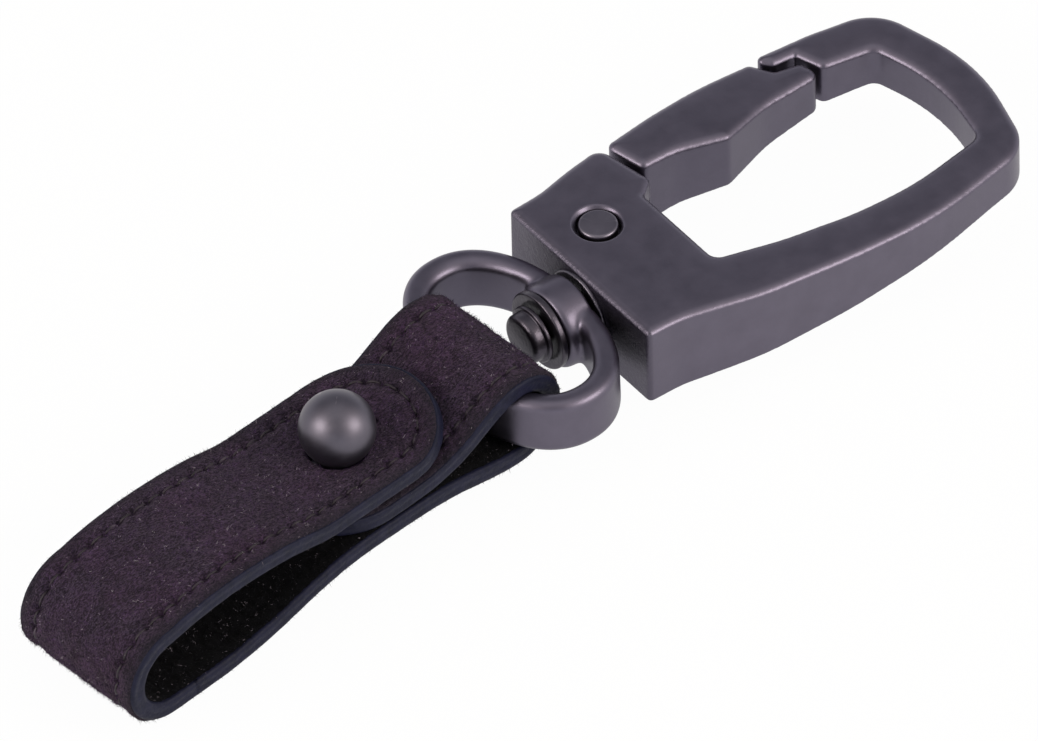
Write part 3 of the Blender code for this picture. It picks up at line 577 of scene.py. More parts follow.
def gate_outline():
    """The gate from above, from its root beside the block to the lapped tip under the nose lip."""
    bow = BOW_WIDTH / 2
    nose_x = STEP_X - LAP_LENGTH
    inner = bow - GATE_WIDTH
    tip_x = STEP_X - GATE_GAP + 0.1 * MM
    lap_y = bow - LIP_THICKNESS - GATE_GAP + 0.2 * MM
    thumb_x = (ROOT_X + STEP_X) / 2 - 2.1 * MM
    back = nose_x - ROOT_X
    return rounded([
        (ROOT_X, inner - 0.1 * MM, 0.65 * MM),
        (ROOT_X + 3.8 * MM, inner - 0.1 * MM, 8 * MM),
        (thumb_x, inner - THUMB_RISE + 0.1 * MM, 0.9 * MM),
        (thumb_x + 5.4 * MM, inner, 14 * MM),
        (tip_x - 0.15 * MM, inner + 0.55 * MM, 0.9 * MM),
        (tip_x - 0.7 * MM, lap_y - 0.1 * MM, 0.8 * MM),
        (nose_x + 0.95 * MM, lap_y + 0.4 * MM, 0.5 * MM),
        (nose_x - 0.45 * MM, bow + 0.42 * MM, 0.7 * MM),
        (ROOT_X + 0.655 * back, bow + 0.6 * MM, 2.4 * back),
        (ROOT_X + 0.267 * back, bow + 0.05 * MM, 1.8 * back),
        (ROOT_X - 1.0 * MM, bow - 0.75 * MM, 0.7 * MM),
    ])


gate = cast_blank("gate_casting", gate_outline(), GATE_SINK)
cut(gate, flat_plate("tongue", tongue_outline(0, 0), -TONGUE_THICKNESS / 2, TONGUE_THICKNESS / 2),
    operation="UNION")
cut(gate, round_bar("tongue_bore", PIN_RADIUS + GAP, -TONGUE_THICKNESS, TONGUE_THICKNESS), at_pin)
skin(gate, CAST_VOXEL, 3)
crown_faces(gate, gate_outline(), GATE_SINK)
finish_casting(gate, in_hook, gunmetal)
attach(gate, "gate")
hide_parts("gate")


# --- Turned pieces --------------------------------------------------------------------------
# Gate pin, swivel stud, washers, ball stud and its screw are turned from bar and plated dark. The
# tool leaves fine rings round each piece's own axis; their sharp rims are painted lighter as painted highlight.
TURNED = (0.135, 0.125, 0.156)
# Painted highlight colour for the sharp rims of turned pieces:
TURNED_HIGHLIGHT = (0.23, 0.215, 0.25)
PIN_METAL = (0.165, 0.153, 0.192)

# Painted highlight: where an edge is sharp, at outer corners, broken up by a fine noise.
highlit_rims = Group("painted_rim_highlight", {"Reach": 0.06, "Breakup per Metre": 1500})
sharp_rim = highlit_rims.math("DIVIDE", highlit_rims.math("SUBTRACT", highlit_rims.add("NewGeometry")["Pointiness"], 0.5),
                      highlit_rims.given["Reach"])
highlight_breakup = highlit_rims.range(highlit_rims.noise(highlit_rims.given["Breakup per Metre"], 3.0, 0.6), 0.25, 0.75, 0.35, 1.0)
painted_rim_highlight = highlit_rims.give(Wear=highlit_rims.add("Clamp", {"Value": highlit_rims.times(sharp_rim, highlight_breakup)})["Result"])

# Fine tool rings round an axis that runs along the piece's own Z.
tooled = Group("turning_marks", {"Centre A": 0.0, "Centre B": 0.0, "Rings per Metre": 9000})
place = tooled.add("SeparateXYZ", {0: tooled.spot})
off_axis = [tooled.math("SUBTRACT", place[axis], tooled.given[centre])
            for axis, centre in (("X", "Centre A"), ("Y", "Centre B"))]
off_centre = tooled.math("SQRT", tooled.math("ADD", *[tooled.times(off, off) for off in off_axis]))
tool_path = tooled.total(off_centre, tooled.given["Rings per Metre"], place["Z"], tooled.given["Rings per Metre"])
turning_marks = tooled.give(Relief=tooled.add(
    "TexNoise", {"Scale": 1.0, "Detail": 2.0, "W": tool_path}, noise_dimensions="1D")["Fac"])


def turned_material(name, centre, colour=TURNED, roughness=0.34):
    """Dark plated bar with rings turned round a centre (x, y) of the piece; its sharp rims get a painted
    highlight.
    """
    bar = Finish(name)
    rings = bar.group(turning_marks, {"Centre A": centre[0], "Centre B": centre[1]})["Relief"]
    grain = bar.group(cast_grain)
    highlight_share = bar.group(painted_rim_highlight, {"Reach": 0.09})["Wear"]
    plate_colour = bar.mix(grain["Mottle"], dimmed(colour, 0.85), colour)
    # Painted highlight: the sharp rims are painted in a lighter colour.
    return bar.coat(bar.mix(highlight_share, plate_colour, TURNED_HIGHLIGHT),
                    bar.range(grain["Mottle"], 0, 1, roughness - 0.03, roughness + 0.05),
                    bar.total(rings, 0.5, grain["Relief"], 0.5), 0.006 * MM, Metallic=1.0)


def soft_profile(corners):
    """A profile through corners (radius, height, rounding), each but the two ends rounded."""
    threes = zip(corners, corners[1:], corners[2:])
    return [corners[0][:2], *(spot for three in threes for spot in corner_arc(*three)), corners[-1][:2]]


def turned_piece(name, profile, matrix, material=None, steps=128):
    """A solid of revolution about Z, put in place by matrix."""
    mesh = bpy.data.meshes.new(name)
    mesh.from_pydata([(r, 0, z) for r, z in profile], [(i, i + 1) for i in range(len(profile) - 1)], [])
    piece = show(name, mesh)
    modify(piece, "SCREW", steps=steps, render_steps=steps, use_merge_vertices=True, merge_threshold=WELD)
    with opened(piece.data) as shell:
        bmesh.ops.remove_doubles(shell, verts=shell.verts, dist=2 * WELD)
        bmesh.ops.recalc_face_normals(shell, faces=shell.faces)
    piece.data.transform(matrix)
    piece.data.shade_smooth()
    if material:
        piece.data.materials.append(material)
    return piece


pin_top = head_top + TOP_RISE
pin_foot = TOP_RISE - pin_top
head_radius = PIN_HEAD_RADIUS + 0.12 * MM
pin = turned_piece("gate_pin_turned", soft_profile([
    (0, pin_top, 0), (head_radius, pin_top, 0.3 * MM), (head_radius, pin_top - PIN_HEAD_HEIGHT, 0.05 * MM),
    (PIN_RADIUS, pin_top - PIN_HEAD_HEIGHT, 0), (PIN_RADIUS, pin_foot, 0.2 * MM), (0, pin_foot, 0)]),
    in_hook @ at_pin, turned_material("turned_gate_pin", (PIN_X - THROAT_X, PIN_Y), PIN_METAL, 0.32))
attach(pin, "hook")
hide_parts("gate_pin")


# --- Closing spring -------------------------------------------------------------------------
# A small coil of bright drawn wire sits in a pocket across the block and pushes the gate shut.
# The solid's own coil stays, in wire steel with fine draw lines.
wire = Finish("spring_wire")
wire_lines = wire.noise(9000, 3.0, 0.6)
finish_casting(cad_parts["gate_spring"], Matrix.Identity(4), wire.coat(
    wire.mix(wire_lines, (0.38, 0.38, 0.39), (0.55, 0.55, 0.56)),
    wire.range(wire_lines, 0.3, 0.7, 0.2, 0.35), wire_lines, 0.003 * MM, Metallic=1.0))
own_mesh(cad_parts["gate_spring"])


# --- Swivel ---------------------------------------------------------------------------------
# A headed stud is pressed into the block through a washer, the ring's hub and a rough cast
# spacer, so that the ring turns freely between them.
SPACER_RADIUS = 3.95 * MM
SPACER_THICKNESS = 0.9 * MM
HUB_RADIUS = 4.15 * MM
HUB_LENGTH = 2.7 * MM
WASHER_RADIUS = 3.9 * MM
WASHER_THICKNESS = 0.7 * MM
BUTTON_RADIUS = 2.85 * MM
BUTTON_HEIGHT = 0.45 * MM
BUTTON_STEP_RADIUS = 2.45 * MM
BUTTON_STEP_HEIGHT = 1.25 * MM
STUD_DEPTH = 4.4 * MM
# Painted shade: the swivel's plate is darker than the hook's, for the shade it sits in.
SWIVEL_SHADED_METAL = (0.088, 0.080, 0.100)
SPACER_METAL = (0.120, 0.111, 0.138)
spacer_back = GAP / 2
spacer_face = GAP + SPACER_THICKNESS / 3
hub_near = spacer_face + GAP / 2
hub_far = 2 * GAP + SPACER_THICKNESS + HUB_LENGTH
washer_near = hub_far + GAP
washer_far = washer_near + WASHER_THICKNESS
button_near = washer_far + GAP
step_near = button_near + BUTTON_HEIGHT
crown = step_near + BUTTON_STEP_HEIGHT
along_stud = Matrix.Rotation(math.radians(-90), 4, "Y")

# Painted shade: stud and washer get a darker copy of the plate, for the shade between block, ring and strap.
shaded_swivel_metal = plated_material("shaded_swivel_plate", SWIVEL_SHADED_METAL, 0.34, 0.05 * MM, 3000)
rough_metal = plated_material("rough_spacer_plate", SPACER_METAL, 0.34, 0.12 * MM, 2300)

stud = turned_piece("swivel_stud_turned", soft_profile([
    (0, crown, 0), (BUTTON_STEP_RADIUS, crown, 0.6 * MM), (BUTTON_STEP_RADIUS, step_near, 0.1 * MM),
    (BUTTON_RADIUS, step_near, 0.2 * MM), (BUTTON_RADIUS, button_near, 0.1 * MM),
    (STUD_RADIUS, button_near, 0), (STUD_RADIUS, -STUD_DEPTH, 0.25 * MM), (0, -STUD_DEPTH, 0)]),
    in_hook @ along_stud, shaded_swivel_metal)
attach(stud, "hook")
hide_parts("swivel_stud")

washer_bore = STUD_RADIUS + GAP
for name, radius, near, far, material in (
        ("head_washer", WASHER_RADIUS, washer_near, washer_far, shaded_swivel_metal),
        ("spacer_washer", SPACER_RADIUS, spacer_back, spacer_face, rough_metal)):
    washer = turned_piece(name + "_turned", soft_profile([
        (washer_bore, far, 0), (radius, far, 0.2 * MM), (radius, near, 0.2 * MM),
        (washer_bore, near, 0), (washer_bore, far, 0)]), in_hook @ along_stud, material)
    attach(washer, "hook")
    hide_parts(name)


# --- Swivel ring ----------------------------------------------------------------------------
# The ring is a third casting: a strong oval band with soft edges, and a round hub for the
# swivel. Hub and band flow into each other in a cast fillet.
RING_HALF_LENGTH = 7.7 * MM
RING_HALF_WIDTH = 12.2 * MM
RING_SQUARENESS = 2.2
RING_BAND = 2.15 * MM
RING_END_GROWTH = 0.5 * MM
RING_HEIGHT = 5.9 * MM
RING_EDGE = 1.0 * MM
RING_CENTRE_X = -8.1 * MM
RING_CENTRE_Y = -0.2 * MM
RING_TILT = math.radians(-1.8)
RING_SLIP = -0.2 * MM
RING_DROP = -0.25 * MM
RING_VOXEL = 0.11 * MM
RING_STEPS = 240
FILLET_PASSES = 110


def swept(name, spots, faces, material=None):
    """A smooth closed piece from rings of points and their faces, its normals turned outward."""
    mesh = bpy.data.meshes.new(name)
    mesh.from_pydata([tuple(spot) for spot in spots], [], faces)
    with opened(mesh) as shell:
        bmesh.ops.recalc_face_normals(shell, faces=shell.faces)
    mesh.shade_smooth()
    if material:
        mesh.materials.append(material)
    return show(name, mesh)


def tube_faces(rings, wide, base=0, closed=False):
    """The faces of a tube of rings of points: joined up when closed, else with a cap at both ends."""
    faces = []
    for k in range(rings if closed else rings - 1):
        here, there = base + k * wide, base + (k + 1) % rings * wide
        faces += [(here + j, there + j, there + (j + 1) % wide, here + (j + 1) % wide) for j in range(wide)]
    if not closed:
        end = base + rings * wide
        faces += [tuple(range(base, base + wide)), tuple(range(end - wide, end))[::-1]]
    return faces


def ring_band():
    """The oval band, swept through its rounded section, which grows inward at the oval's two ends."""
    section = rounded([(x * RING_BAND / 2, y * RING_HEIGHT / 2, RING_EDGE)
                       for x, y in ((1, -1), (1, 1), (-1, 1), (-1, -1))], math.radians(10))
    turn = np.linspace(0, math.tau, 4001)
    sides = ((RING_CENTRE_X, RING_HALF_LENGTH, np.cos(turn)), (RING_CENTRE_Y, RING_HALF_WIDTH, np.sin(turn)))
    oval = np.stack([centre + (half - RING_BAND / 2) * np.sign(wave) * np.abs(wave) ** (2 / RING_SQUARENESS)
                     for centre, half, wave in sides], 1)
    run = run_along(oval)
    even = points_at(run[-1] * (np.arange(RING_STEPS) + 0.5) / RING_STEPS, run, oval)
    for _ in range(4):
        even = (np.roll(even, 1, 0) + 2 * even + np.roll(even, -1, 0)) / 4
    spots = []
    for (x, y), (left_x, left_y) in zip(even, left_of(unit(np.roll(even, -1, 0) - np.roll(even, 1, 0)))):
        growth = 2 * RING_END_GROWTH / RING_BAND * ((y - RING_CENTRE_Y) / RING_HALF_WIDTH) ** 2
        for out, up in section:
            out += growth * min(out, 0)
            spots.append((x - left_x * out, y - left_y * out, up))
    return swept("swivel_ring_casting", spots, tube_faces(RING_STEPS, len(section), closed=True))


def beside_hub(spot):
    """How far a spot is in the zone where the band leaves the hub."""
    off_axis = math.hypot(spot.y, spot.z)
    inside = max(0.0, 1 - abs(off_axis - HUB_RADIUS - 0.3 * MM) / (1.7 * MM))
    rear = (-hub_near - 0.3 * MM - spot.x) / (0.5 * MM)
    front = (spot.x + hub_far + 0.7 * MM) / (0.5 * MM)
    return min(1.0, 1.6 * inside) * min(1.0, max(0.0, rear)) * min(1.0, max(0.0, front))


ring = ring_band()
cut(ring, turned_piece("ring_hub", soft_profile([
    (0, hub_far, 0), (HUB_RADIUS, hub_far, 0.6 * MM), (HUB_RADIUS, hub_near, 0.5 * MM), (0, hub_near, 0)]),
    along_stud, steps=96), operation="UNION")
cut(ring, round_bar("hub_trim", RING_HALF_WIDTH, 0, RING_HALF_WIDTH, steps=24),
    Matrix.Translation((-hub_near, 0, 0)) @ along_x)
cut(ring, round_bar("hub_bore", washer_bore, -2 * HUB_RADIUS, 2 * HUB_RADIUS),
    Matrix.Translation((-hub_far, 0, 0)) @ along_x)
skin(ring, RING_VOXEL, 3)
fillet = ring.vertex_groups.new(name="fillet")
for vertex in ring.data.vertices:
    share = beside_hub(vertex.co)
    if share > 0:
        fillet.add([vertex.index], share, "REPLACE")
soften(ring, FILLET_PASSES, vertex_group="fillet")
ring.vertex_groups.clear()
ring.data.shade_smooth()
ring_place = in_hook @ Matrix.Translation((RING_SLIP, 0, RING_DROP)) @ Matrix.Rotation(RING_TILT, 4, "X")
finish_casting(ring, ring_place, gunmetal)
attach(ring, "ring")
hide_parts("swivel_ring")


# --- Strap path -----------------------------------------------------------------------------
# One strip of suede with a fuzzy lining: it lies under the flap, wraps the ring's far bar, runs
# back underneath, folds round the keys' split ring and closes as a flap over the ball.
STRAP_WIDTH = 15.0 * MM
SUEDE_THICKNESS = 1.0 * MM
LINING_THICKNESS = 0.8 * MM
STRAP_THICKNESS = SUEDE_THICKNESS + GAP + LINING_THICKNESS
STRAP_YAW = math.radians(6)
STRAP_Y = -0.9 * MM
WRAP_RADIUS = RING_HEIGHT / 2 + 0.2 * MM + STRAP_THICKNESS / 2
BOTTOM_LEVEL = -2.75 * MM
STUD_REACH = 16.55 * MM
STUD_SIDE = -0.6 * MM
FLAT_REACH = 3.9 * MM
FOLD_REACH = 43.6 * MM
FOLD_RADIUS = 4.45 * MM
FOLD_LEVEL = -1.6 * MM
FOLD_RUN = FOLD_REACH - STUD_REACH - FLAT_REACH
SPLIT_REACH = 40.8 * MM
FLAP_OVERHANG = 10.6 * MM
FLAP_CREST = 1.0 * MM
HINGE_X = RING_CENTRE_X - RING_HALF_LENGTH + 0.76 * RING_BAND
INNER_LEVEL = BOTTOM_LEVEL + STRAP_THICKNESS + GAP + 0.05 * MM
FLANGE_THICKNESS = 0.5 * MM
FLANGE_Z = INNER_LEVEL + STRAP_THICKNESS / 2 - 0.5 * MM + GAP
FLAP_LEVEL = FLANGE_Z + FLANGE_THICKNESS + GAP + STRAP_THICKNESS / 2
BALL_RADIUS = 3.6 * MM
BALL_RISE = 2.3 * MM
BALL_Z = FLAP_LEVEL + STRAP_THICKNESS / 2 + BALL_RISE
NECK_RADIUS = 1.9 * MM
PATH_STEP = 0.2 * MM
in_strap = Matrix.Translation((HINGE_X - THROAT_X, STRAP_Y, 0)) @ Matrix.Rotation(STRAP_YAW, 4, "Z")
at_ball = in_strap @ Matrix.Translation((-STUD_REACH, STUD_SIDE, 0))


def smooth_run(points, steps=14):
    """A smooth line through points, as a Catmull-Rom spline, without its last point."""
    ends = [2 * points[0] - points[1], *points, 2 * points[-1] - points[-2]]
    return [0.5 * (2 * b + (c - a) * t + (2 * a - 5 * b + 4 * c - d) * t ** 2
                   + (3 * b - a - 3 * c + d) * t ** 3)
            for a, b, c, d in zip(ends, ends[1:], ends[2:], ends[3:])
            for t in (k / steps for k in range(steps))]


def arc(centre, radius, first, last, pieces=40):
    return [centre + radius * Vector((math.cos(a), math.sin(a)))
            for a in (first + (last - first) * k / pieces for k in range(pieces + 1))]


def spread(x, width, z, height, shares):
    """Points (x, z), each so many shares of a width and a height away from a start."""
    return [Vector((x + width * u, z + height * v)) for u, v in shares]


def loop_path():
    """Centre line of the strap from under the flap, round the ring's bar and along the bottom run."""
    climb = -STUD_REACH + FLAT_REACH
    flat_end = -STUD_REACH - FLAT_REACH
    inner = [Vector((-STUD_REACH - STRAP_WIDTH / 2, INNER_LEVEL)), Vector((flat_end, INNER_LEVEL))]
    inner += spread(0, climb, INNER_LEVEL, WRAP_RADIUS + RING_DROP - INNER_LEVEL,
                    ((1, 0), (0.75, 0.10), (0.52, 0.34), (0.29, 0.72), (0.11, 0.95), (0, 1)))
    wrap = arc(Vector((0, RING_DROP)), WRAP_RADIUS, math.radians(90), math.radians(-90))
    wrap_foot = RING_DROP - WRAP_RADIUS
    bottom = spread(0, climb, wrap_foot, BOTTOM_LEVEL - wrap_foot,
                    ((0, 0), (0.13, 0.04), (0.36, 0.35), (0.66, 0.8), (1, 1)))
    bottom += spread(flat_end, -FOLD_RUN, BOTTOM_LEVEL, FOLD_LEVEL - FOLD_RADIUS - BOTTOM_LEVEL,
                     ((0, 0), (0.22, 0.24), (0.45, 0.66), (0.68, 0.92), (0.88, 0.98)))
    return smooth_run(inner) + wrap[:-1] + smooth_run(bottom) + [bottom[-1]]


def flap_path():
    """Centre line of the fold and the flap, from the bottom run's end to the flap's tip."""
    turn = arc(Vector((-FOLD_REACH, FOLD_LEVEL)), FOLD_RADIUS, math.radians(-90), math.radians(-270))
    top = [turn[-1]] + spread(-FOLD_REACH, FOLD_RUN, FOLD_LEVEL + FOLD_RADIUS, FLAP_CREST,
                              ((0.13, 0.62), (0.36, 1), (0.62, 0.62)))
    top += spread(-FOLD_REACH, FOLD_RUN, FLAP_LEVEL, FLAP_CREST, ((0.85, 0.05), (1, 0)))
    top += spread(-STUD_REACH + FLAT_REACH, FLAP_OVERHANG - FLAT_REACH, FLAP_LEVEL, 1.35 * STRAP_THICKNESS,
                  ((0, 0), (0.3, 0.08), (0.65, 0.31), (1, 0.66)))
    return turn[:-1] + smooth_run(top) + [top[-1]]


def even_path(points):
    """The path as evenly spaced points with its kinks eased, and each point's outward normal."""
    line = np.array([tuple(p) for p in points])
    line = line[np.concatenate([[True], np.linalg.norm(np.diff(line, axis=0), axis=1) > 1e-7])]
    run = run_along(line)
    even = points_at(np.linspace(0, run[-1], int(run[-1] / PATH_STEP) + 1), run, line)
    for _ in range(14):
        even[1:-1] = 0.25 * even[:-2] + 0.5 * even[1:-1] + 0.25 * even[2:]
    run = run_along(even)
    return run, even, left_of(unit(np.gradient(even, run, axis=0)))


strap_run, strap_line, strap_outward = even_path(loop_path() + flap_path())
strap_total = float(strap_run[-1])
fold_foot = np.array([-SPLIT_REACH, FOLD_LEVEL - FOLD_RADIUS])
strap_split = float(strap_run[np.argmin(np.linalg.norm(strap_line - fold_foot, axis=1))])


def bend_along_strap(spots):
    """Take points (distance along the strap, side, height off its centre line) to their real place."""
    spots = np.asarray(spots, float)
    along = spots[:, 0]
    flat = points_at(along, strap_run, strap_line) + points_at(along, strap_run, strap_outward) * spots[:, 2:]
    real = np.stack([flat[:, 0], spots[:, 1], flat[:, 1], np.ones(len(spots))], 1)
    return (real @ np.array(in_strap).T)[:, :3]


# --- Suede and lining -----------------------------------------------------------------------
# The suede is dark aubergine with its nap brushed in all directions; the lining is black and
# fuzzy. Both are cut together and sewn close inside their edge.
HALF_WIDTH = STRAP_WIDTH / 2
HALF_THICK = STRAP_THICKNESS / 2
EDGE_INSET = 0.24 * MM
EDGE_ROUNDING = 0.36 * MM
TIP_FLAT = 1.2 * MM
STITCH_INSET = 2.1 * MM
STITCH_GROOVE = 0.16 * MM
STITCH_PIT = 0.5 * MM
STITCH_REACH = 0.42 * MM
STITCH_PITCH = 1.75 * MM
STAIN_REACH = 1.0 * MM
FIBRE_RADIUS = 0.026 * MM
FIBRE_LENGTH = 0.44 * MM
FIBRE_SCATTER = 0.05 * MM
SUEDE_VOXEL = 0.15 * MM
GLUE_LEVEL = -0.1 * MM
GLUE_HALF = 0.02 * MM
SPLIT_LAP = 0.4 * MM
FLANGE_RADIUS = 3.6 * MM
SCREW_RADIUS = 1.0 * MM
SLIT_LENGTH = 2.2 * MM
SLIT_WIDTH = 0.4 * MM
THROUGH = 2 * MM


def strip_outline(first, last, inset):
    """The strap laid flat from first to last, drawn in by inset; the whole strap's own ends are round."""
    wide = HALF_WIDTH - inset
    limit = math.acos(TIP_FLAT / HALF_WIDTH)
    turns = [-limit + 2 * limit * k / 40 for k in range(41)]
    right, left = [(last, -wide), (last, wide)], [(first, wide), (first, -wide)]
    if last == strap_total:
        centre = last - HALF_WIDTH
        tip = [(centre + wide * math.cos(a), wide * math.sin(a)) for a in turns]
        right = [(centre, -wide), *tip, (centre, wide)]
    if first == 0:
        centre = first + HALF_WIDTH
        tip = [(centre - wide * math.cos(a), wide * math.sin(a)) for a in turns[::-1]]
        left = [(centre, wide), *tip, (centre, -wide)]
    return right + left


def rim_line(first, last, inset, step=0.1 * MM):
    """The line along a strip's rim, open at an end that isn't round."""
    outline = strip_outline(first, last, inset)
    if first > 0:
        outline = outline[-1:] + outline[:-1]
    elif last < strap_total:
        outline = outline[1:] + outline[:1]
    else:
        outline = outline + outline[:1]
    points = [np.array(outline[0])]
    for a, b in zip(np.array(outline), np.array(outline[1:])):
        pieces = max(1, int(np.linalg.norm(b - a) / step))
        points += [a + (b - a) * k / pieces for k in range(1, pieces + 1)]
    return np.array(points)


def distance_at(x, first, last):
    """How far along the strap its centre line passes x, between two distances."""
    inside = (strap_run >= first) & (strap_run <= last)
    return float(strap_run[inside][np.argmin(np.abs(strap_line[inside, 0] - x))])


wrap_at = float(strap_run[np.argmax(strap_line[:, 0])])
inner_ball_at = distance_at(-STUD_REACH, 0, wrap_at)
bottom_ball_at = distance_at(-STUD_REACH, wrap_at, strap_split)
flap_ball_at = distance_at(-STUD_REACH, strap_split + 10 * MM, strap_total)

# Every hole of the sewing line, and the line itself, from the inner end round to the flap's tip.
sewing_line = rim_line(0, strap_total, STITCH_INSET)
sewing_run = run_along(sewing_line)
stitch_count = int(round(sewing_run[-1] / STITCH_PITCH))
hole_marks = np.linspace(0, sewing_run[-1], stitch_count + 1)
holes = points_at(hole_marks[:-1], sewing_run, sewing_line)
strap_rim = rim_line(0, strap_total, 0.0)

# Brushed nap: clumps of fibre that lie lighter or darker, short streaks, and single fibres.
brushed = Group("suede_nap", {"Clumps per Metre": 520, "Fibres per Metre": 5200})
stroke = brushed.add("Mapping", {"Vector": brushed.spot, "Rotation": (0, 0, math.radians(35)),
                                 "Scale": (1.0, 2.6, 1.6)})["Vector"]
grain_scale = brushed.times(brushed.given["Fibres per Metre"], 0.55)
suede_nap = brushed.give(
    Clumps=brushed.range(brushed.noise(brushed.given["Clumps per Metre"], 5.0, 0.65), 0.32, 0.68),
    Streaks=brushed.range(brushed.noise(1500, 4.0, 0.7, stroke), 0.3, 0.7),
    Fibres=brushed.noise(brushed.given["Fibres per Metre"], 3.0, 0.75),
    Grain=brushed.noise(grain_scale, 2.0, 0.6, stroke))
SUEDE_DARK = (0.007, 0.005, 0.009)
SUEDE_MIDDLE = (0.028, 0.017, 0.031)
SUEDE_WARM = (0.070, 0.038, 0.086)
SUEDE_LIGHT = (0.160, 0.105, 0.170)
SUEDE_COOL = (0.009, 0.008, 0.013), (0.048, 0.039, 0.062)
SUEDE_SHEEN = (0.62, 0.48, 0.62, 1)
EDGE_STAIN = (0.012, 0.012, 0.018)
LINING_BASE = (0.0012, 0.0012, 0.0016), (0.0055, 0.0055, 0.007)
LINING_LINT = (0.10, 0.10, 0.11)
STRAY_FIBRE = (0.34, 0.30, 0.35)

skin_side = Finish("aubergine_suede")
parts = skin_side.group(suede_nap)
suede_grain = skin_side.range(parts["Grain"], 0.45, 0.56)
suede_patch = skin_side.range(skin_side.noise(150, 3.0, 0.6), 0.40, 0.60)
suede_base = skin_side.mix(suede_grain, skin_side.mix(parts["Clumps"], SUEDE_DARK, SUEDE_MIDDLE),
                           skin_side.mix(parts["Clumps"], SUEDE_MIDDLE, SUEDE_WARM))
suede_base = skin_side.mix(skin_side.times(suede_patch, 0.65), suede_base,
                           skin_side.mix(suede_grain, *SUEDE_COOL))
suede_light = skin_side.times(skin_side.range(parts["Fibres"], 0.52, 0.78), parts["Streaks"])
suede_stain = skin_side.times(skin_side.add("Attribute", attribute_name="edge_stain")["Fac"], 0.85)
suede = skin_side.coat(
    skin_side.mix(suede_stain, skin_side.mix(suede_light, suede_base, SUEDE_LIGHT), EDGE_STAIN), 0.95,
    skin_side.total(parts["Fibres"], 0.6, parts["Streaks"], 0.4), 0.42 * MM, Specular_IOR_Level=0.12,
    Sheen_Weight=0.10, Sheen_Roughness=0.5, Sheen_Tint=SUEDE_SHEEN)

fuzzy_side = Finish("black_lining")
parts = fuzzy_side.group(suede_nap, {"Clumps per Metre": 1300, "Fibres per Metre": 6500})
lining = fuzzy_side.coat(
    fuzzy_side.mix(fuzzy_side.range(parts["Fibres"], 0.66, 0.76),
                   fuzzy_side.mix(parts["Clumps"], *LINING_BASE), LINING_LINT), 0.95,
    parts["Fibres"], 0.2 * MM, Specular_IOR_Level=0.05, Sheen_Weight=0.02, Sheen_Roughness=0.5)


def fibre_material(name, dark, light, stray_from):
    """Single fibres, lighter or darker than their neighbours; a few stray ones are pale."""
    fibre = Finish(name)
    clump = fibre.range(fibre.noise(520, 4.0, 0.65), 0.36, 0.62, 0.35, 1.0)
    tone = fibre.times(fibre.range(fibre.noise(1900, 3.0, 0.7), 0.44, 0.58), clump)
    stray = fibre.range(fibre.noise(1900, 2.0, 0.5), stray_from, stray_from + 0.03)
    stain = fibre.add("Attribute", attribute_name="edge_stain")["Fac"]
    colour = fibre.mix(stain, fibre.mix(tone, dark, light), EDGE_STAIN)
    return fibre.coat(fibre.mix(stray, colour, STRAY_FIBRE), 0.8, Specular_IOR_Level=0.15)


suede_fibre = fibre_material("suede_fibres", (0.006, 0.005, 0.012), (0.122, 0.066, 0.168), 0.64)
lining_fibre = fibre_material("lining_fibres", (0.0015, 0.0015, 0.002), (0.036, 0.036, 0.045), 0.62)

# Without a seed, noise_vector takes one from the clock, and each run would lean the fibres anew.
noise.seed_set(1)


def brushed_nap(mesh, facing, stain, share, seed):
    """Stand short tapered fibres on a share of the faces that look outward, leaning in clumps."""
    count = len(mesh.polygons)
    corners = np.empty(count * 4, int)
    mesh.polygons.foreach_get("vertices", corners)
    corners = corners.reshape(-1, 4)
    centres, normals = np.empty(count * 3), np.empty(count * 3)
    mesh.polygons.foreach_get("center", centres)
    mesh.polygons.foreach_get("normal", normals)
    dice = np.random.default_rng(seed)
    thinned = share * (1 - 0.7 * stain[corners].mean(1))
    picked = np.flatnonzero((facing[corners].mean(1) > 0.5) & (dice.random(count) < thinned))
    root, up = centres.reshape(-1, 3)[picked], normals.reshape(-1, 3)[picked]
    root = root + dice.normal(0, FIBRE_SCATTER, root.shape)
    lean = np.array([noise.noise_vector(Vector(spot) * 700) for spot in root])
    lean = lean + 0.35 * dice.normal(0, 1, root.shape)
    lean = unit(lean - up * np.sum(lean * up, 1)[:, None])
    steep = dice.uniform(0.25, 0.85, len(root))[:, None]
    ahead = up * steep + lean * np.sqrt(1 - steep ** 2)
    side = unit(np.cross(ahead, up))
    other = np.cross(ahead, side)
    tall = FIBRE_LENGTH * dice.uniform(0.45, 1.3, len(root))[:, None]
    room = np.clip((root[:, 2] - cad_low.z) / (0.4 * MM), 0.05, 1)[:, None]
    tall = np.where(ahead[:, 2:] < 0, tall * room, tall)
    foot = root - up * FIBRE_SCATTER
    triangle = [foot + FIBRE_RADIUS * (side * math.cos(a) + other * math.sin(a))
                for a in (0, math.tau / 3, 2 * math.tau / 3)]
    fibres = np.stack([*triangle, foot + ahead * tall], 1).reshape(-1, 3)
    first = len(mesh.vertices) + 4 * np.arange(len(root))[:, None]
    sides = np.concatenate([first + np.array(t) for t in ((0, 1, 3), (1, 2, 3), (2, 0, 3), (2, 1, 0))])
    full = bpy.data.meshes.new(mesh.name)
    full.from_pydata(np.concatenate([read_spots(mesh), fibres]).tolist(), [], corners.tolist() + sides.tolist())
    full.polygons.foreach_set("material_index", np.repeat([0, 1], [count, len(sides)]))
    stained = full.attributes.new("edge_stain", "FLOAT", "POINT")
    stained.data.foreach_set("value", np.concatenate([stain, np.repeat(stain[corners].mean(1)[picked], 4)]))
    full.shade_smooth()
    return full


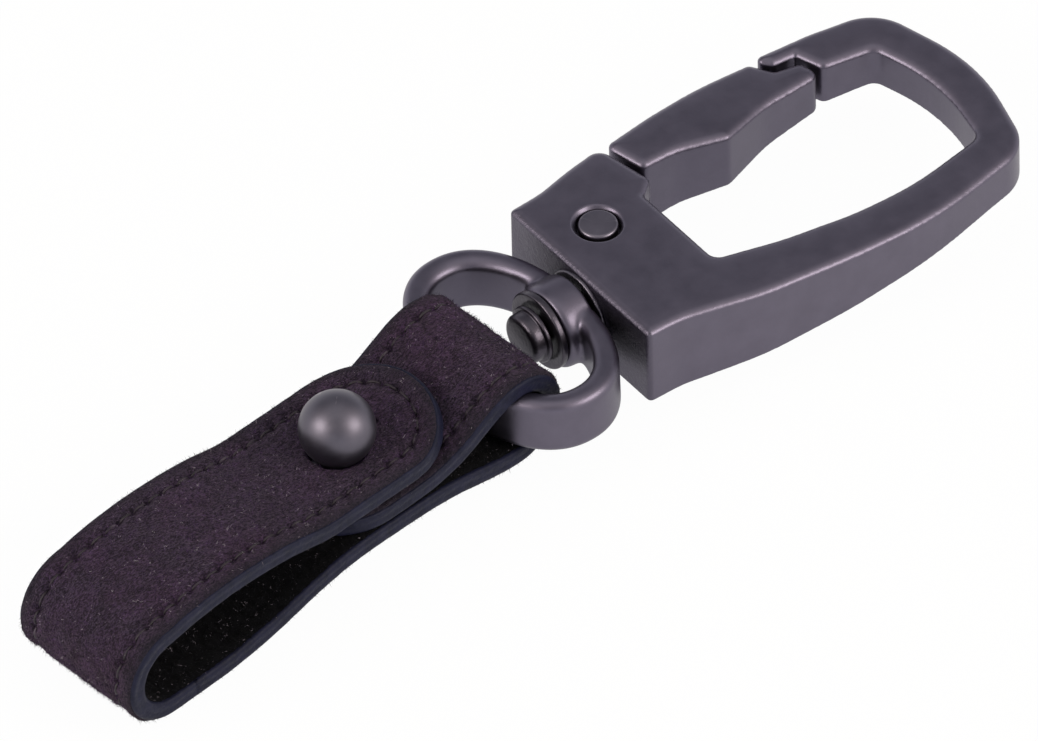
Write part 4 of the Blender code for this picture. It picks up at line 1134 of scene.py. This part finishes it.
def nap(spots, scale, seed):
    """Smooth noise between -1 and 1 over the strap, in the flat."""
    return np.array([noise.noise((x * scale, y * scale, z * scale + seed)) for x, y, z in spots])


def near_line(points, spots, reach):
    """1 on a line of points, fading away from it."""
    return np.exp(-(nearest(points, spots) / reach) ** 2)


def drape_layer(name, first, last, low, high, tools, rough, pit_depth, fibres):
    """One layer of a strip: cut flat, sewn down along its edges, bent along the path and brushed."""
    layer = flat_plate(name, strip_outline(first, last, EDGE_INSET), low, high, EDGE_ROUNDING, 3)
    for tool in tools:
        cut(layer, tool)
    skin(layer, SUEDE_VOXEL, 2)
    spots = read_spots(layer.data)
    spots[:, 0] = np.clip(spots[:, 0], 0, strap_total)
    middle = (low + high) / 2
    outer = np.sign(middle)
    facing = np.clip((spots[:, 2] - middle) * outer / (0.3 * (high - low)), 0, 1)
    groove = STITCH_GROOVE * near_line(sewing_line, spots, STITCH_REACH)
    pits = pit_depth * near_line(holes, spots, STITCH_REACH)
    stain = near_line(strap_rim, spots, STAIN_REACH)
    waves = rough * (nap(spots, 900, 3.0) + 1.3 * nap(spots, 2300, 7.0))
    spots[:, 2] += outer * facing * (waves - groove - pits)
    write_spots(layer.data, bend_along_strap(spots))
    layer.data.materials.clear()
    layer.data = brushed_nap(layer.data, facing, stain, fibres, int(first / MM) + 1)
    return layer


def hole_tool(radius, low, high, distance, radius_low=None):
    """A round tool through the flat strap, in line with the ball stud."""
    tool = round_bar("hole", radius, low, high, radius_low, 48)
    tool.data.transform(Matrix.Translation((distance, STUD_SIDE, 0)))
    return tool


def box_tool(name, low, high):
    """A plain box, used only to cut."""
    size = [b - a for a, b in zip(low, high)]
    middle = [(a + b) / 2 for a, b in zip(low, high)]
    mesh = bpy.data.meshes.new(name)
    with opened(mesh) as shell:
        bmesh.ops.create_cube(shell, size=1, matrix=Matrix.Translation(middle) @ Matrix.Diagonal((*size, 1)))
    return show(name, mesh)


def screw_holes():
    return [hole_tool(SCREW_RADIUS + GAP, -THROUGH, THROUGH, at) for at in (inner_ball_at, bottom_ball_at)]


def buttonhole():
    """The round hole under the ball, wider at its mouth, and the slit that lets the ball through."""
    mouth = math.sqrt(BALL_RADIUS ** 2 - BALL_RISE ** 2) + GAP
    return [hole_tool(mouth, -HALF_THICK - GAP, HALF_THICK + GAP, flap_ball_at, NECK_RADIUS + GAP),
            box_tool("slit", (flap_ball_at, STUD_SIDE - SLIT_WIDTH / 2, -THROUGH),
                     (flap_ball_at + mouth + SLIT_LENGTH, STUD_SIDE + SLIT_WIDTH / 2, THROUGH))]


def layer_piece(node, slot, first, last, tools, body=None):
    """Make a strip's layer, and attach it to a body or fix its placement in its mesh."""
    if slot == "suede":
        layer = drape_layer(node + "_skin", first, last, GLUE_LEVEL + GLUE_HALF, HALF_THICK, tools,
                            0.08 * MM, STITCH_PIT, 0.5)
    else:
        layer = drape_layer(node + "_skin", first, last, -HALF_THICK, GLUE_LEVEL - GLUE_HALF, tools,
                            0.07 * MM, 0.0, 0.3)
    for finish in (suede, suede_fibre) if slot == "suede" else (lining, lining_fibre):
        layer.data.materials.append(finish)
    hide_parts(node)
    if body:
        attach(layer, body)
    else:
        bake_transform(layer)


# The loop and the flap are made apart and lap a little at the fold.
loop_end = strap_split + SPLIT_LAP
flap_start = strap_split - SPLIT_LAP
flange_recess = hole_tool(FLANGE_RADIUS + GAP, 0.5 * MM, THROUGH, inner_ball_at)
layer_piece("strap_suede", "suede", 0, loop_end, [flange_recess, *screw_holes()], "strap")
layer_piece("strap_lining", "lining", 0, loop_end, screw_holes(), "strap")
layer_piece("flap_suede", "suede", flap_start, strap_total, buttonhole())
layer_piece("flap_lining", "lining", flap_start, strap_total, buttonhole())


# --- Painted edge ---------------------------------------------------------------------------
# The strip's cut edge is sealed with two coats of blue black edge paint. It stands in two soft
# ridges, one for each layer, and laps a little onto the suede.
EDGE_SECTION = [(0.66, 0.60), (0.52, 0.70), (0.38, 0.76), (0.24, 0.79), (0.12, 0.74), (0.04, 0.61),
                (0.01, 0.42), (0.02, 0.20), (0.05, 0.04), (0.055, -0.08), (0.03, -0.26), (0.01, -0.48),
                (0.02, -0.70), (0.12, -0.88), (0.28, -0.98), (0.46, -0.98), (0.62, -0.90), (0.72, -0.7),
                (0.76, 0.0), (0.74, 0.5)]

edge = Finish("edge_paint")
edge_wide = edge.noise(900, 4.0, 0.6)
edge_fine = edge.noise(4200, 3.0, 0.6)
edge_paint = edge.coat(
    edge.mix(edge.range(edge_wide, 0.3, 0.7), (0.006, 0.007, 0.018), (0.012, 0.013, 0.033)),
    edge.range(edge_fine, 0.3, 0.7, 0.38, 0.6), edge.total(edge_wide, 0.7, edge_fine, 0.3), 0.12 * MM,
    Specular_IOR_Level=0.14)


def edge_bead(name, first, last):
    """The painted edge, swept in the flat along the strip's rim and bent with it."""
    rim = rim_line(first, last, 0.0, 0.22 * MM)
    ahead = np.gradient(rim, axis=0)
    for _ in range(3):
        ahead[1:-1] = (ahead[:-2] + 2 * ahead[1:-1] + ahead[2:]) / 4
    spots = []
    for spot, inward in zip(rim, left_of(unit(ahead))):
        for depth, height in EDGE_SECTION:
            ripple = 0.03 * noise.noise((spot[0] * 900, spot[1] * 900, height * 3)) * (depth < 0.5)
            spots.append((*(spot + inward * ((depth + ripple) * MM)), height * MM))
    spots = np.array(spots)
    spots[:, 0] = np.clip(spots[:, 0], 0, strap_total)
    return swept(name, bend_along_strap(spots), tube_faces(len(rim), len(EDGE_SECTION)), edge_paint)


loop_edge = edge_bead("strap_painted_edge", 0, strap_split)
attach(loop_edge, "strap")
flap_edge = edge_bead("flap_painted_edge", flap_start, strap_total)
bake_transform(flap_edge)


# --- Stitches -------------------------------------------------------------------------------
# A saddle stitch in dark waxed thread holds suede and lining together, close inside the edge.
# Each stitch arches from hole to hole and is pulled down into the nap, where the fibres hide it.
THREAD_RADIUS = 0.14 * MM
THREAD_RINGS = 9
THREAD_SIDES = 8

thread = Finish("waxed_thread")
thread_twist = thread.noise(5200, 2.0, 0.5)
thread_colour = thread.mix(thread.range(thread_twist, 0.35, 0.65), (0.004, 0.002, 0.004), (0.020, 0.011, 0.021))
thread_rubbed = thread.range(thread.noise(330, 2.0), 0.63, 0.74)
waxed_thread = thread.coat(thread.mix(thread_rubbed, thread_colour, (0.075, 0.055, 0.080)),
                           thread.range(thread_twist, 0.3, 0.7, 0.45, 0.65), thread_twist, 0.06 * MM)


def sew(name, first, last):
    """The stitches on the suede whose middle lies between two distances along the strap."""
    spots, faces = [], []
    share = np.arange(THREAD_RINGS) / (THREAD_RINGS - 1)
    arch = np.sin(math.pi * share) ** 0.6
    for a, b in zip(hole_marks, hole_marks[1:]):
        if not first <= np.interp((a + b) / 2, sewing_run, sewing_line[:, 0]) < last:
            continue
        faces += tube_faces(THREAD_RINGS, THREAD_SIDES, len(spots))
        at = a + (b - a) * (0.10 + 0.80 * share)
        here = points_at(at, sewing_run, sewing_line)
        there = points_at(np.minimum(at + 0.05 * MM, sewing_run[-1]), sewing_run, sewing_line)
        for (x, y), (left_x, left_y), bow in zip(here, left_of(unit(there - here)), arch):
            height = HALF_THICK + (-0.46 + 0.28 * bow) * MM
            thick = THREAD_RADIUS * (0.55 + 0.45 * bow)
            for turn in (math.tau * j / THREAD_SIDES for j in range(THREAD_SIDES)):
                across = thick * math.cos(turn)
                spots.append((x + left_x * across, y + left_y * across, height + thick * math.sin(turn)))
    return swept(name, bend_along_strap(spots), faces, waxed_thread)


loop_thread = sew("strap_stitches", 0, strap_split)
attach(loop_thread, "strap")
flap_thread = sew("flap_stitches", strap_split, strap_total)
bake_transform(flap_thread)


# --- Ball stud ------------------------------------------------------------------------------
# The flap buttons over a turned ball with a flat flange. A slotted screw from below holds it
# through the strap's inner and bottom runs. The flange has a small rounded rim.
SCREW_HEAD_RADIUS = 3.2 * MM
SCREW_HEAD_HEIGHT = 0.9 * MM
SCREW_SLOT = 0.6 * MM
SCREW_TOP = BALL_Z - BALL_RADIUS / 2
BALL_METAL = (0.128, 0.120, 0.150)
flange_top = FLANGE_Z + FLANGE_THICKNESS
ball_start = math.asin(NECK_RADIUS / BALL_RADIUS)
ball_arc = [(BALL_RADIUS * math.sin(a), BALL_Z - BALL_RADIUS * math.cos(a))
            for a in (math.pi + (ball_start - math.pi) * k / 48 for k in range(1, 49))]
screw_bore = SCREW_RADIUS + GAP
ball_centre = tuple(at_ball.translation)[:2]
ball = turned_piece("ball_stud_turned", [
    (0, BALL_Z + BALL_RADIUS), *ball_arc, (NECK_RADIUS, flange_top),
    (FLANGE_RADIUS - 0.12 * MM, flange_top), (FLANGE_RADIUS, flange_top - 0.12 * MM),
    (FLANGE_RADIUS, FLANGE_Z + 0.1 * MM), (FLANGE_RADIUS - 0.1 * MM, FLANGE_Z), (screw_bore, FLANGE_Z),
    (screw_bore, SCREW_TOP), (0, SCREW_TOP)], at_ball,
    turned_material("turned_ball", ball_centre, BALL_METAL, 0.39))
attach(ball, "strap")
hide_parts("ball_stud")

seat = BOTTOM_LEVEL - HALF_THICK - GAP
base = seat - SCREW_HEAD_HEIGHT
screw = turned_piece("stud_screw_turned", soft_profile([
    (0, SCREW_TOP - GAP, 0), (SCREW_RADIUS, SCREW_TOP - GAP, 0.15 * MM), (SCREW_RADIUS, seat, 0),
    (SCREW_HEAD_RADIUS, seat, 0.12 * MM), (SCREW_HEAD_RADIUS, base, 0.35 * MM), (0, base, 0)]),
    Matrix.Identity(4), steps=96)
cut(screw, box_tool("screw_slot", (-4 * MM, -SCREW_SLOT / 2, base - GAP),
                    (4 * MM, SCREW_SLOT / 2, base + 1.3 * GAP)))
screw.data.transform(at_ball)
screw.data.set_sharp_from_angle(angle=math.radians(35))
screw.data.materials.append(turned_material("turned_screw", ball_centre))
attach(screw, "strap")
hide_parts("stud_screw")


# --- Floor, studio and lamps ----------------------------------------------------------------
# A plain pale sweep lies under the hook in a soft grey studio, with a soft box on each side of
# the camera. The camera sees the floor as nearly white, with the object's own soft shadow on it.
FLOOR_LEVEL = cad_low.z - 0.02 * MM
FLOOR_RADIUS = 9.0
LAMP_COLOUR = (1.0, 0.92, 0.84)
LAMP_GLOW = (1.5, 1.38, 1.27)
LAMP_WATTS = 2.9
LAMP_DISTANCE = 0.9
RIGHT_LAMP = (0.42, -0.74, 0.53)
LEFT_LAMP = (-0.84, 0.16, 0.52)

floor_mesh = bpy.data.meshes.new("studio_floor")
with opened(floor_mesh) as shell:
    bmesh.ops.create_circle(shell, cap_ends=True, segments=64, radius=FLOOR_RADIUS)
floor = show("studio_floor", floor_mesh)
floor.location = (0, 0, FLOOR_LEVEL)
paper = Finish("studio_paper")
paper.coat(paper.mix(paper.noise(60, 3.0), (0.78, 0.78, 0.78), (0.80, 0.80, 0.80)), 0.9, Specular_IOR_Level=0.1)
rays = paper.add("LightPath")
seen = paper.math("MAXIMUM", paper.math("MAXIMUM", rays["Is Camera Ray"], rays["Is Transmission Ray"]),
                  paper.times(rays["Is Glossy Ray"], 0.55))
white = paper.add("Emission", {"Strength": 1.0})
sweep = paper.add("MixShader", {0: paper.times(seen, 0.97), 1: paper.shader.outputs[0], 2: white[0]})
paper.fill(paper.tree.nodes["Material Output"], {"Surface": sweep[0]})
floor_mesh.materials.append(paper.material)

studio = bpy.data.worlds.new("studio")
bpy.context.scene.world = studio
studio.use_nodes = True
sky = Wiring(studio.node_tree)
direction = sky.add("TexCoord")["Generated"]
height = sky.add("SeparateXYZ", {0: direction})["Z"]
studio_colour = sky.mix(sky.range(height, 0.05, 0.62), (0.95, 0.95, 0.97), (0.30, 0.30, 0.32))
studio_colour = sky.mix(sky.range(height, 0.76, 1.0), studio_colour, (0.95, 0.93, 0.90))
for toward_lamp in (RIGHT_LAMP, LEFT_LAMP):
    near_lamp = sky.add("VectorMath", {0: direction, 1: Vector(toward_lamp).normalized()},
                        operation="DOT_PRODUCT")["Value"]
    spread_out = sky.range(near_lamp, 0.55, 1.0)
    studio_colour = sky.mix(sky.times(spread_out, spread_out), studio_colour, LAMP_GLOW)
sky.fill(sky.tree.nodes["Background"], {"Color": studio_colour})

for name, toward_lamp, width, height in (("soft_box_right", RIGHT_LAMP, 0.46, 0.42),
                                         ("soft_box_left", LEFT_LAMP, 0.44, 0.38)):
    lamp_data = bpy.data.lights.new(name, "AREA")
    lamp_data.shape = "RECTANGLE"
    lamp_data.size = width
    lamp_data.size_y = height
    lamp_data.energy = LAMP_WATTS
    lamp_data.color = LAMP_COLOUR
    lamp = show(name, lamp_data)
    aim = Vector(toward_lamp).normalized()
    lamp.location = Vector((-30 * MM, 0, 0)) + aim * LAMP_DISTANCE
    lamp.rotation_euler = aim.to_track_quat("Z", "Y").to_euler()

bpy.context.scene.view_settings.view_transform = "Standard"
